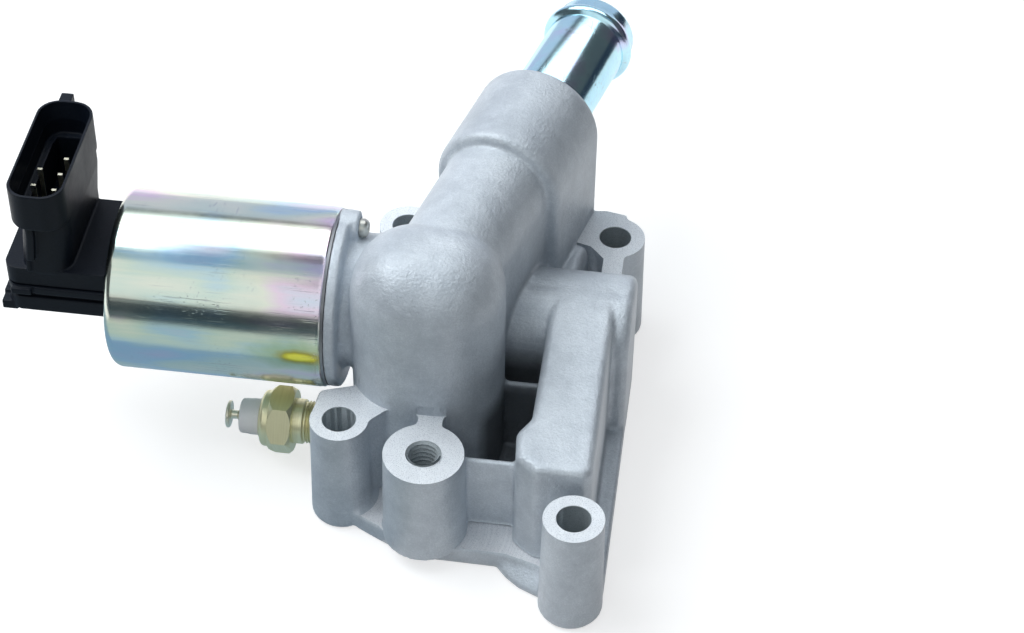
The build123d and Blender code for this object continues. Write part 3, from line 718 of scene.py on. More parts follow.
@dataclass
class Palette:
    """Every finish of the valve, built once."""

    def __post_init__(self) -> None:
        """Builds the materials."""
        self.cast = CastFinish(
            "cast_aluminium", (0.70, 0.755, 0.81), (0.46, 0.51, 0.565), 0.42, 0.22, 0.00023,
            # painted shade: box of the deep pocket between dome, duct and drum, in millimetres
            shade_pocket=((4.5, 21.0), (-38.6, 8.0), (-20.0, 30.0)),
        ).material()
        self.milled = MilledFinish(
            "milled_aluminium", (0.84, 0.88, 0.92), (0.44, 0.48, 0.54), 0.42, 0.2, 700.0,
        ).material()
        self.faced = MilledFinish(
            "faced_aluminium", (0.93, 0.95, 0.98), (0.58, 0.61, 0.66), 0.38, 0.15, 1500.0, (-8.4, -44.2), 0.3,
        ).material()
        self.bored = MilledFinish(
            "bored_aluminium", (0.48, 0.53, 0.56), (0.28, 0.32, 0.34), 0.46, 0.5, 1800.0,
            contrast=0.15, across=(0.05, 0.05, 1.0),
        ).material()
        self.can = PlatedFinish(
            "zinc_can",
            (
                (0.0, (0.66, 0.62, 0.78)), (0.25, (0.50, 0.68, 0.80)), (0.42, (0.66, 0.76, 0.68)),
                (0.58, (0.80, 0.81, 0.70)), (0.75, (0.84, 0.68, 0.80)), (1.0, (0.62, 0.74, 0.84)),
            ),
            (26.0, 62.0, 62.0), 0.14, (-0.0450, -0.0247, 0.0460), 0.017,
        ).material()
        self.tube = PlatedFinish(
            "zinc_tube",
            (
                (0.0, (0.54, 0.64, 0.88)), (0.35, (0.48, 0.76, 0.90)), (0.6, (0.58, 0.86, 0.94)),
                (0.8, (0.66, 0.68, 0.92)), (1.0, (0.50, 0.80, 0.78)),
            ),
            (50.0, 40.0, 60.0), 0.14,
        ).material()
        self.brass = TurnedFinish(
            "brass", (0.96, 0.91, 0.62), (0.62, 0.56, 0.32), 0.34, (2200.0, 60.0, 60.0),
        ).material()
        self.steel = TurnedFinish(
            "turned_steel", (0.58, 0.59, 0.61), (0.34, 0.35, 0.37), 0.3, (2200.0, 60.0, 60.0),
        ).material()
        self.screw = TurnedFinish(
            "screw_steel", (0.62, 0.62, 0.58), (0.36, 0.35, 0.30), 0.32, (1800.0, 80.0, 80.0),
        ).material()
        self.sheet = TurnedFinish(
            "sheet_steel", (0.30, 0.31, 0.33), (0.14, 0.14, 0.15), 0.36, (90.0, 500.0, 500.0),
        ).material()
        self.contact = TurnedFinish(
            "tinned_contact", (0.90, 0.87, 0.72), (0.60, 0.56, 0.40), 0.26, (60.0, 60.0, 1500.0),
        ).material()
        self.copper = TurnedFinish(
            "copper_winding", (0.72, 0.34, 0.16), (0.40, 0.16, 0.07), 0.26, (3200.0, 20.0, 20.0), 0.0001,
        ).material()
        self.spring = TurnedFinish(
            "spring_steel", (0.60, 0.60, 0.62), (0.35, 0.35, 0.36), 0.24, (900.0, 900.0, 900.0),
        ).material()
        self.iron = CastFinish("guide_iron", (0.20, 0.20, 0.21), (0.11, 0.11, 0.12), 0.5, 0.9, 0.00008).material()
        self.black = MouldedFinish(
            "black_plastic", (0.0035, 0.006, 0.012), (0.009, 0.014, 0.024), 0.44, 0.00005,
        ).material()
        self.bobbin = MouldedFinish(
            "bobbin_plastic", (0.045, 0.04, 0.036), (0.09, 0.085, 0.08), 0.45, 0.00004,
        ).material()
        self.white = MouldedFinish(
            "white_plastic", (0.94, 0.96, 0.96), (0.84, 0.86, 0.87), 0.34, 0.00003, 1.2, 0.1,
        ).material()
        self.follower = MouldedFinish(
            "follower_plastic", (0.62, 0.60, 0.54), (0.50, 0.48, 0.43), 0.4, 0.00003, 1.2, 0.1,
        ).material()
        self.rubber = MouldedFinish("seal_rubber", (0.02, 0.02, 0.021), (0.05, 0.05, 0.05), 0.6, 0.00006).material()
        self.card = MouldedFinish("card_board", (0.03, 0.12, 0.06), (0.05, 0.17, 0.09), 0.35, 0.00002).material()


def dress(piece: Object, *materials: Material) -> None:
    """Gives a piece its materials in order."""
    piece.data.materials.clear()
    for material in materials:
        piece.data.materials.append(material)


def settle(piece: Object, material: Material | None, slot: str, *nodes: str) -> None:
    """Dresses a piece, sets it on the fixed body, hides the frame's nodes that it replaces and reports it.

    Args:
        piece: the piece.
        material: its finish, or None where it has been dressed.
        slot: not used.
        nodes: the frame's nodes that it replaces.
    """
    if material is not None:
        dress(piece, material)
    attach(piece, Body.FIXED.value)
    if nodes:
        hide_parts(*nodes)
    piece.data.calc_loop_triangles()
    log.info("%s: %d triangles on %s", piece.name, len(piece.data.loop_triangles), Body.FIXED.value)


@dataclass
class CastHousing:
    """The aluminium casting with its machined pads, bores and the tapped middle hole."""

    palette: Palette
    boss_h: float = 34.66
    hole_r: float = 4.5
    hole_edge: float = 0.12
    tap_r: float = 4.6
    tap_core_r: float = 4.05
    tap_depth: float = 23.0
    tap_pitch: float = 1.5
    tap_flat: float = 0.12
    mouth: float = 0.2
    stub: float = 1.6
    overcut: float = 0.9
    plate_t: float = 6.0
    plate_cut: float = 0.14
    plate_room: float = 0.5
    plate_areas: tuple[tuple[Point, Point], ...] = (((-44.0, -8.5), (-64.0, -27.0)), ((-8.3, 31.0), (-76.0, -39.6)))
    crown_x: Point = (19.2, 36.8)
    crown_y: Point = (7.2, 16.2)
    crown_top: float = 45.3
    crown_edge: float = 2.4
    crown_deep: float = 14.0
    crown_break: float = 3.4
    crown_dip: float = 0.25
    drum_x: Point = (7.0, 41.6)
    drum_r: float = 12.2
    shoulder_y: float = 11.4
    shoulder_drop: float = 0.1
    plug_r: float = 5.2
    tap_plug_r: float = 5.6
    tap_plug_z: float = 8.0
    mill_cell: float = 0.45
    gap_low: float = 24.0
    gap_rise: float = 6.0
    gap_outline: tuple[Point, ...] = (
        (22.6, 44.1), (26.6, 43.0), (28.6, 40.9), (30.2, 39.0),
        (29.0, 37.8), (27.0, 39.4), (25.2, 41.3), (22.6, 42.25),
    )
    corner_bosses: tuple[Point, ...] = ((-32.6, -34.9), (33.3, -61.3), (33.3, 47.8), (-26.6, 44.6))
    middle_boss: Point = (-8.4, -44.2)

    def tool(self, x: float, y: float, profile: tuple[Point, ...], slot: int) -> Shape:
        """A closed upright tool turned from a profile of height and radius.

        Args:
            x: place of its axis.
            y: place of its axis.
            profile: points as height and radius, in millimetres.
            slot: material index of what it cuts.

        Returns:
            The tool's bmesh, in place.
        """
        shape = lathe(profile, 72)
        for face in shape.faces:
            face.material_index = slot
        return put(shape, at(x, y, 0) @ Matrix.Rotation(-math.pi / 2, 4, "Y"))

    def plug(self, x: float, y: float, low: float, top: float, radius: float) -> Shape:
        """A cylinder that fills a bore until it is cut again."""
        return self.tool(x, y, ((low, 0.0), (low, radius), (top, radius), (top, 0.0)), 0)

    def flats(self, shape: Shape, height: float, up: float) -> list[Face]:
        """Faces of a mesh that lie flat at a height.

        Args:
            shape: the mesh.
            height: in millimetres.
            up: 1 for faces that look up, -1 for faces that look down.

        Returns:
            The faces.
        """
        return [
            face for face in shape.faces
            if face.normal.z * up > 0.999 and abs(face.calc_center_median().z - height * MM) < 0.00002
        ]

    def raise_flats(self, shape: Shape, faces: list[Face], rise: float) -> None:
        """Thickens a mesh by moving some of its flat faces up or down."""
        extrude(shape, faces, (0, 0, rise))
        bmesh.ops.delete(shape, geom=faces, context="FACES")

    def blank(self) -> Shape:
        """The casting before machining, with filled bores and raised pads."""
        shape = merged_copy("housing")
        shape.normal_update()
        self.raise_flats(shape, self.flats(shape, self.boss_h, 1), self.stub)
        self.raise_flats(shape, self.flats(shape, 0.0, -1), -self.stub)
        top, low = self.boss_h + self.stub, -self.stub
        for x, y in self.corner_bosses:
            absorb(shape, self.plug(x, y, low, top, self.plug_r))
        x, y = self.middle_boss
        absorb(shape, self.plug(x, y, self.tap_plug_z, top, self.tap_plug_r))
        absorb(shape, self.crown())
        absorb(shape, self.shoulder())
        return shape

    def crown(self) -> Shape:
        """Metal that carries the duct's top into the cross drum.

        Returns:
            Its bmesh, in place.
        """
        (x0, x1), (y0, y1), top = self.crown_x, self.crown_y, self.crown_top
        shape = box((x0, x1), (y0, y1), (top - self.crown_deep, top))
        bmesh.ops.bisect_plane(
            shape, geom=[*shape.verts, *shape.edges, *shape.faces],
            plane_co=(0, (y0 + self.crown_break) * MM, 0), plane_no=(0, 1, 0),
        )
        high = [vert for vert in shape.verts if vert.co.z > (top - 1.0) * MM]
        near = [vert for vert in high if vert.co.y < (y0 + 0.1) * MM]
        bmesh.ops.translate(shape, vec=(0, 0, -self.crown_dip * MM), verts=near)
        long = [
            edge for edge in shape.edges
            if all(vert in high for vert in edge.verts) and abs(edge.verts[0].co.x - edge.verts[1].co.x) < 1e-6
        ]
        round_edges(shape, long, self.crown_edge, 5)
        return shape

    def shoulder(self) -> Shape:
        """Fuller front of the cross drum."""
        (x0, x1), r = self.drum_x, self.drum_r
        profile = (
            (x0, 0.0), (x0, r - 2.2), *arc(x0 + 2.2, r - 2.2, 2.2, 180, 90, 5),
            *arc(x1 - 2.6, r - 2.6, 2.6, 90, 0, 6), (x1, 0.0),
        )
        move = at(0, self.shoulder_y, self.crown_top - self.shoulder_drop - r)
        whole = put(lathe(profile, 96), move)
        absorb(whole, box((x0, x1), (self.shoulder_y - r, self.shoulder_y), (1.0, self.crown_top - r), 2.2))
        return whole

    def pad_mill(self) -> Object:
        """Cutter that faces every pad and web, kept clear of the walls beside them.

        Returns:
            The cutter.
        """
        shape = merged_copy("housing")
        shape.normal_update()
        pads = set(self.flats(shape, self.boss_h, 1))
        bmesh.ops.delete(shape, geom=[face for face in shape.faces if face not in pads], context="FACES")
        for x, y in (*self.corner_bosses, self.middle_boss):
            rim = [edge for edge in shape.edges if edge.is_boundary and self.near(edge, x, y, 6.0)]
            bmesh.ops.holes_fill(shape, edges=rim, sides=0)
        bmesh.ops.translate(shape, vec=(0, 0, -3.0 * MM), verts=shape.verts)
        self.raise_flats(shape, list(shape.faces), self.stub + 4.0)
        bmesh.ops.holes_fill(shape, edges=[edge for edge in shape.edges if edge.is_boundary], sides=0)
        bmesh.ops.recalc_face_normals(shape, faces=shape.faces)
        mill = new_piece("pad_mill", shape)
        for grow in (self.overcut, 0.0):
            cells = mill.modifiers.new("cells", "REMESH")
            cells.mode = "VOXEL"
            cells.voxel_size = self.mill_cell * MM
            if grow > 0:
                swell = mill.modifiers.new("swell", "DISPLACE")
                swell.strength = grow * MM
                swell.mid_level = 0.0
            bake_modifiers(mill)
        room = new_piece("room", box((-80.0, 80.0), (-90.0, 90.0), (self.boss_h, self.boss_h + 9.0)))
        cut(mill, room, Solver.QUICK, "INTERSECT")
        self.mark_floor(mill, 1)
        cut(mill, new_piece("walls", merged_copy("housing")), Solver.QUICK)
        return mill

    def mark_floor(self, mill: Object, slot: int) -> None:
        """Gives the underside of a cutter the material slot of what it cuts."""
        for face in mill.data.polygons:
            face.material_index = slot if face.normal.z < -0.99 else 0

    def plate_mill(self) -> Object:
        """Cutter that faces the plate between the front bosses.

        Returns:
            The cutter.
        """
        whole = bmesh.new()
        for spread in self.plate_areas:
            absorb(whole, box(*spread, (self.plate_t, self.plate_t + self.plate_room)))
        mill = new_piece("plate_mill", whole)
        cut(mill, new_piece("walls", merged_copy("housing")), Solver.QUICK)
        self.mark_floor(mill, 3)
        mill.data.transform(at(0, 0, -self.plate_cut))
        return mill

    def ridge_gap(self) -> Object:
        """Cutter that parts the ridge beside the collar from the back right web."""
        return new_piece("ridge_gap", prism(self.gap_outline, self.gap_low, self.boss_h + self.gap_rise))

    def near(self, edge: bmesh.types.BMEdge, x: float, y: float, reach: float) -> bool:
        """Whether an edge lies within a distance of an upright axis."""
        return all(math.hypot(vert.co.x / MM - x, vert.co.y / MM - y) < reach for vert in edge.verts)

    def borers(self) -> Object:
        """Cutters of the fixing holes and of the tapped hole."""
        whole = bmesh.new()
        high = self.boss_h + 8.0
        for x, y in self.corner_bosses:
            absorb(whole, self.tool(x, y, (
                (-6.0, 0.0), (-6.0, self.hole_r), (self.boss_h - self.hole_edge, self.hole_r),
                (self.boss_h, self.hole_r + self.hole_edge), (high, self.hole_r + self.hole_edge), (high, 0.0),
            ), 2))
        x, y = self.middle_boss
        floor = self.boss_h - self.tap_depth
        absorb(whole, self.tool(x, y, (
            (floor - 2.4, 0.0), (floor, self.tap_r), (self.boss_h - self.mouth, self.tap_r),
            (self.boss_h, self.tap_r + self.mouth), (high, self.tap_r + self.mouth), (high, 0.0),
        ), 2))
        return new_piece("borers", whole)

    def face_mill(self) -> Object:
        """Cutter of the mounting face."""
        shape = bmesh.new()
        bmesh.ops.create_cube(shape, size=1.0)
        for face in shape.faces:
            face.material_index = 1
        return new_piece("face_mill", put(shape, at(0, 0, -5) @ Matrix.Diagonal((0.4, 0.4, 0.01, 1))))

    def casting(self) -> Object:
        """The rounded casting with crisp machined faces.

        Returns:
            The finished piece.
        """
        skin = new_piece("housing_casting", self.blank())
        Softener(0.6, 3, 0.3).run(skin)
        for mill in (self.ridge_gap(), self.pad_mill(), self.plate_mill(), self.face_mill(), self.borers()):
            cut(skin, mill, Solver.QUICK)
        slots = [face.material_index for face in skin.data.polygons]
        dress(skin, self.palette.cast, self.palette.milled, self.palette.bored, self.palette.faced)
        skin.data.polygons.foreach_set("material_index", slots)
        crisp(skin, 38.0)
        for face in skin.data.polygons:
            if face.material_index in (1, 3) and abs(face.normal.z) > 0.99:
                face.use_smooth = False
        settle(skin, None, "cast_aluminium", "housing")
        return skin

    def thread(self) -> Object:
        """The helical thread of the middle hole.

        Returns:
            The finished piece.
        """
        x, y = self.middle_boss
        half = self.tap_pitch / 2
        shape = bmesh.new()
        start = self.boss_h - self.tap_depth
        flat = self.tap_flat
        rows = (
            (self.tap_r, 0.0), (self.tap_core_r, half - flat), (self.tap_core_r, half + flat), (self.tap_r, 2 * half),
        )
        points = [shape.verts.new((r * MM, 0.0, (start + z) * MM)) for r, z in rows]
        edges = [shape.edges.new(pair) for pair in zip(points, points[1:])]
        steps, turns = 40, int((self.tap_depth - self.mouth) / self.tap_pitch)
        bmesh.ops.spin(
            shape, geom=points + edges, cent=(0, 0, 0), axis=(0, 0, 1), angle=2 * math.pi * turns,
            dvec=(0, 0, self.tap_pitch * MM / steps), steps=steps * turns,
        )
        bmesh.ops.remove_doubles(shape, verts=shape.verts, dist=2e-6)
        put(shape, at(x, y, 0))
        bmesh.ops.recalc_face_normals(shape, faces=shape.faces)
        bmesh.ops.reverse_faces(shape, faces=shape.faces)
        piece = new_piece("middle_hole_thread", shape, 25.0)
        settle(piece, self.palette.bored, "cast_aluminium")
        return piece

    def build(self) -> None:
        """Builds every piece of the casting."""
        self.casting()
        self.thread()


@dataclass
class SolenoidCan:
    """The deep-drawn can with its rolled shoulder, gasket and screws."""

    palette: Palette
    axis_z: float = 45.92
    radius: float = 24.78
    wall: float = 1.5
    x0: float = -98.4
    x1: float = -39.4
    hole_r: float = 10.3
    shoulder: float = 2.6
    screw_inset: float = 3.58
    screw_turns: Point = (70.7, -55.0)

    def can(self) -> Object:
        """The can, drawn from sheet with a rounded closed end."""
        inner = self.radius - self.wall
        outer_turn = arc(self.x0 + self.shoulder, self.radius - self.shoulder, self.shoulder, 180, 90, 10)
        bend = self.shoulder - self.wall
        inner_turn = arc(self.x0 + self.shoulder, inner - bend, bend, 90, 180, 6)
        profile = (
            (self.x0, self.hole_r + 0.3), *outer_turn, (self.x1 - 1.6, self.radius),
            (self.x1 - 1.2, self.radius - 0.12), (self.x1 - 0.3, self.radius - 0.12), (self.x1, self.radius - 0.4),
            (self.x1, inner + 0.2), (self.x1 - 0.2, inner),
            *inner_turn, (self.x0 + self.wall, self.hole_r), (self.x0 + 0.3, self.hole_r),
        )
        shape = put(lathe(profile, 192, True), at(0, 0, self.axis_z))
        piece = new_piece("drawn_can", shape, 40.0)
        settle(piece, self.palette.can, "zinc_plate", "solenoid_can")
        return piece

    def screws(self) -> Object:
        """The two flange screws with domed heads and hexagon sockets."""
        whole = bmesh.new()
        start, ends = (corner.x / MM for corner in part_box("can_screws"))
        out = self.radius - self.screw_inset
        for turn in self.screw_turns:
            y = out * math.cos(math.radians(turn))
            z = self.axis_z + out * math.sin(math.radians(turn))
            head = (
                (start, 0.0), (start, 1.7), (ends - 2.4, 1.7), (ends - 2.4, 2.6), (ends - 1.2, 2.6),
                (ends - 0.5, 2.3), (ends - 0.05, 1.7), (ends - 0.05, 1.2), (ends - 1.3, 1.05), (ends - 1.6, 0.0),
            )
            absorb(whole, put(lathe(head, 48), at(0, y, z)))
        piece = new_piece("flange_screws", whole)
        settle(piece, self.palette.screw, "screw_steel", "can_screws")
        return piece

    def build(self) -> None:
        """Builds the can and its screws."""
        self.can()
        self.screws()


@dataclass
class CoolantSpigot:
    """The plated tube in the elbow's collar, with its hose bead."""

    palette: Palette
    turn: float = 75.36
    cross_x: float = 7.78
    cross_y: float = 60.0
    mouth_y: float = 64.5
    axis_z: float = 62.26
    radius: float = 11.86
    wall: float = 1.4
    depth: float = 16.0
    reach: float = 45.0
    bead_r: float = 13.7

    def build(self) -> None:
        """Builds the tube with its rolled bead and turned-in lip."""
        r, end = self.radius, self.reach
        inner = r - self.wall
        profile = (
            (-self.depth, r - 0.4), (-self.depth + 0.6, r), (end - 9.6, r), (end - 9.0, r + 0.1),
            *arc(end - 6.9, self.bead_r - 1.9, 1.9, 155, 25, 10), (end - 4.4, r + 0.42), (end - 3.6, r + 0.3),
            (end - 1.0, r + 0.3), (end - 0.3, r + 0.1), (end, r - 0.35), (end, inner + 0.3), (end - 0.3, inner),
            (end - 5.0, inner), (-self.depth, inner),
        )
        x = self.cross_x + (self.mouth_y - self.cross_y) / math.tan(math.radians(self.turn))
        place = at(x, self.mouth_y, self.axis_z) @ Matrix.Rotation(math.radians(self.turn), 4, "Z")
        piece = new_piece("hose_spigot_tube", put(lathe(profile, 128, True), place), 50.0)
        settle(piece, self.palette.tube, "zinc_plate", "coolant_spigot")


@dataclass
class TemperatureSensor:
    """The brass coolant sensor with its crimped collar, insulator and stud terminal."""

    palette: Palette
    y: float = -16.0
    z: float = 12.2
    face_x: float = -49.1
    hexagon: float = 17.0
    hex_l: float = 6.6

    def move(self) -> Matrix:
        """Place of the sensor's axis."""
        return at(0, self.y, self.z)

    def brass(self) -> None:
        """The hexagon with its turned corners, crimped collar, shoulder and thread."""
        x1, x0 = self.face_x, self.face_x - self.hex_l
        shape = bmesh.new()
        corner = self.hexagon / math.sqrt(3)
        bmesh.ops.create_circle(shape, cap_ends=True, radius=corner * MM, segments=6)
        put(shape, at(x0, 0, 0) @ Matrix.Rotation(math.pi / 2, 4, "Y"))
        extrude(shape, list(shape.faces), (self.hex_l, 0, 0))
        bmesh.ops.recalc_face_normals(shape, faces=shape.faces)
        nut = new_piece("sensor_hexagon", put(shape, self.move()), 20.0)
        ball = ((x0 - 0.4, 0.0), (x0 - 0.4, self.hexagon / 2 - 0.2), (x0 + 1.6, corner), (x1 - 1.3, corner))
        ball += ((x1 + 0.2, self.hexagon / 2 - 0.1), (x1 + 0.2, 0.0))
        turned = new_piece("turning", put(lathe(ball, 96), self.move()))
        cut(nut, turned, Solver.CAREFUL, "INTERSECT")
        crisp(nut, 20.0)
        settle(nut, self.palette.brass, "brass")
        profile = (
            (x0 - 2.9, 5.0), (x0 - 2.9, 5.9), (x0 - 2.6, 6.5), *arc(x0 - 1.2, 6.6, 1.3, 165, 100, 6), (x0 + 0.1, 7.9),
            (x0 + 0.1, 4.0), (x1 - 0.2, 4.0), (x1 - 0.2, 6.3), (x1 + 2.7, 6.3), (x1 + 3.0, 6.0), (x1 + 3.1, 5.55),
            (x1 + 3.5, 5.55), (x1 + 3.9, 6.0), (x1 + 4.3, 5.55), (x1 + 4.7, 6.0), (x1 + 5.1, 5.55), (x1 + 5.5, 6.0),
            (x1 + 5.9, 5.55), (x1 + 18.1, 5.6), (x1 + 18.1, 4.1), (x1 + 26.6, 4.1), (x1 + 27.0, 3.7),
            (x1 + 27.0, 0.0),
        )
        body = new_piece("sensor_shank", put(lathe(profile, 96), self.move()), 30.0)
        settle(body, self.palette.brass, "brass", "sensor_body")

    def insulator(self) -> None:
        """The white moulding round the terminal."""
        x0 = self.face_x - self.hex_l
        profile = (
            (x0 - 8.7, 1.2), (x0 - 8.7, 3.6), *arc(x0 - 7.9, 4.1, 0.8, 160, 90, 5), (x0 - 6.4, 4.95), (x0 - 5.4, 5.1),
            (x0 - 3.2, 5.1), (x0 - 2.8, 4.7), (x0 + 2.0, 4.6), (x0 + 2.0, 1.2),
        )
        piece = new_piece("sensor_moulding", put(lathe(profile, 80, True), self.move()), 35.0)
        settle(piece, self.palette.white, "white_plastic", "sensor_insulator")

    def terminal(self) -> None:
        """The stud terminal with its disc."""
        x0 = self.face_x - self.hex_l
        end, root = (corner.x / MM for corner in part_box("sensor_terminal"))
        profile = (
            (end, 0.0), (end, 2.6), *arc(end + 0.5, 3.4, 0.5, 180, 0, 8), (end + 1.0, 2.4), (end + 1.3, 1.3),
            (x0 - 9.6, 1.2), (x0 - 9.2, 1.7), (x0 - 8.75, 1.7), (x0 - 8.6, 1.15), (root, 1.15), (root, 0.0),
        )
        piece = new_piece("sensor_stud", put(lathe(profile, 64), self.move()), 35.0)
        settle(piece, self.palette.contact, "contact", "sensor_terminal")

    def build(self) -> None:
        """Builds the sensor."""
        self.brass()
        self.insulator()
        self.terminal()


@dataclass
class PlugHead:
    """The black moulded head with its plug hood, cover and contacts."""

    palette: Palette
    hood_x: Point = (-123.2, -107.8)
    hood_y: Point = (-19.9, 20.6)
    hood_top: float = 89.5
    hood_wall: float = 1.6
    hood_shift: float = 1.0
    bar_shift: float = -0.8
    lean_from: float = 64.0
    lean_over: float = 10.0
    rim: float = 0.75
    rim_depth: float = 5.0
    slab_x: Point = (-126.3, -98.4)
    slab_y: Point = (-17.2, 13.6)
    groove_z: Point = (55.3, 56.0)
    groove_depth: float = 0.55

    def lean(self, piece: Object) -> None:
        """Sets the hood a little towards the can and its latch bar a little away from it."""
        for vert in piece.data.vertices:
            share = min(max((vert.co.z / MM - self.lean_from) / self.lean_over, 0.0), 1.0)
            bar = vert.co.y > (self.hood_y[1] + 0.15) * MM
            vert.co.x += (self.bar_shift if bar else self.hood_shift) * share * MM

    def mouth(self) -> Object:
        """Cutter that thins the hood's walls towards the rim."""
        inset = self.hood_wall - 0.05
        x0, x1 = self.hood_x[0] + self.hood_shift + inset, self.hood_x[1] + self.hood_shift - inset
        y0, y1 = self.hood_y[0] + inset, self.hood_y[1] - inset
        low, high = self.hood_top - self.rim_depth, self.hood_top + 1.0
        shape = box((x0, x1), (y0, y1), (low, high), 4.6)
        shape.normal_update()
        for vert in shape.verts:
            if vert.co.z > (high - 0.5) * MM:
                out = Vector((vert.normal.x, vert.normal.y, 0.0)).normalized()
                vert.co += out * (self.hood_wall - self.rim) * (self.rim_depth + 1.0) / self.rim_depth * MM
        return new_piece("mouth", shape)

    def groove(self) -> Object:
        """Cutter of the groove round the slab above the cover's seam."""
        (x0, x1), (y0, y1), deep = self.slab_x, self.slab_y, self.groove_depth
        ring = new_piece("groove", box((x0 - 2.0, x1 + 1.0), (y0 - 2.0, y1 + 2.0), self.groove_z))
        low, high = self.groove_z
        core = new_piece("core", box((x0 + deep, x1 + 6.0), (y0 + deep, y1 - deep), (low - 1.0, high + 1.0), 3.4))
        cut(ring, core, Solver.QUICK)
        return ring

    def upper(self) -> None:
        """The head's upper moulding with the hood."""
        blank = merged_copy("connector_head")
        for vert in blank.verts:
            x, y, z = (value / MM for value in vert.co)
            if -119.7 < x < -116.9 and 15.0 < y < 17.7 and z > 65.9:
                vert.co.y = max(y, 17.1) * MM
                vert.co.z = min(z, 79.4) * MM
        front = self.slab_y[0]
        absorb(blank, box((-118.2, -98.5), (front - 0.6, front + 1.0), (52.9, 55.2), 0.0, 0.3))
        absorb(blank, box((-124.6, -118.9), (front - 1.1, front + 1.0), (52.7, 54.7), 0.0, 0.35))
        absorb(blank, box((-119.3, -118.1), (front - 0.6, front + 1.0), (61.0, 76.0), 0.0, 0.3))
        piece = new_piece("plug_head_moulding", blank)
        Softener(0.26, 2, 0.35).run(piece)
        self.lean(piece)
        for cutter in (self.mouth(), self.groove()):
            cut(piece, cutter, Solver.QUICK)
        crisp(piece, 38.0)
        settle(piece, self.palette.black, "black_plastic", "connector_head")

    def lower(self) -> None:
        """The head's cover with its tabs."""
        blank = merged_copy("head_cover")
        absorb(blank, box((-128.4, -124.0), (-16.4, -12.8), (45.2, 48.0), 0.0, 0.3))
        piece = new_piece("head_cover_moulding", blank)
        Softener(0.28, 2, 0.35).run(piece)
        settle(piece, self.palette.black, "black_plastic_cover", "head_cover")

    def build(self) -> None:
        """Builds the head and its cover."""
        self.upper()
        self.lower()


@dataclass
class InnerWorks:
    """Finishes of the frame nodes that keep their own shape."""

    palette: Palette

    def build(self) -> None:
        """Gives each remaining node its finish."""
        made = self.palette
        still = {
            "base_gasket": made.sheet, "base_plate": made.steel, "guide_sleeve": made.brass, "pole_piece": made.steel,
            "coil_bobbin": made.bobbin, "coil_leads": made.contact, "coil_winding": made.copper,
            "return_spring": made.spring, "valve_seat": made.steel, "stem_guide": made.iron, "stem_bush": made.brass,
            "stem_scraper": made.rubber, "sensor_element": made.bobbin, "connector_pins": made.contact,
            "head_seal": made.rubber, "resistor_card": made.card, "follower_spring": made.spring,
        }
        moving = {
            "pintle": made.steel, "armature": made.steel, "sensor_follower": made.follower, "wiper": made.contact,
        }
        for body, finishes in ((Body.FIXED, still), (Body.MOVING, moving)):
            for name, finish in finishes.items():
                dress(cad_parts[name], finish)
                log.info("%s keeps the frame's shape on %s", name, body.value)


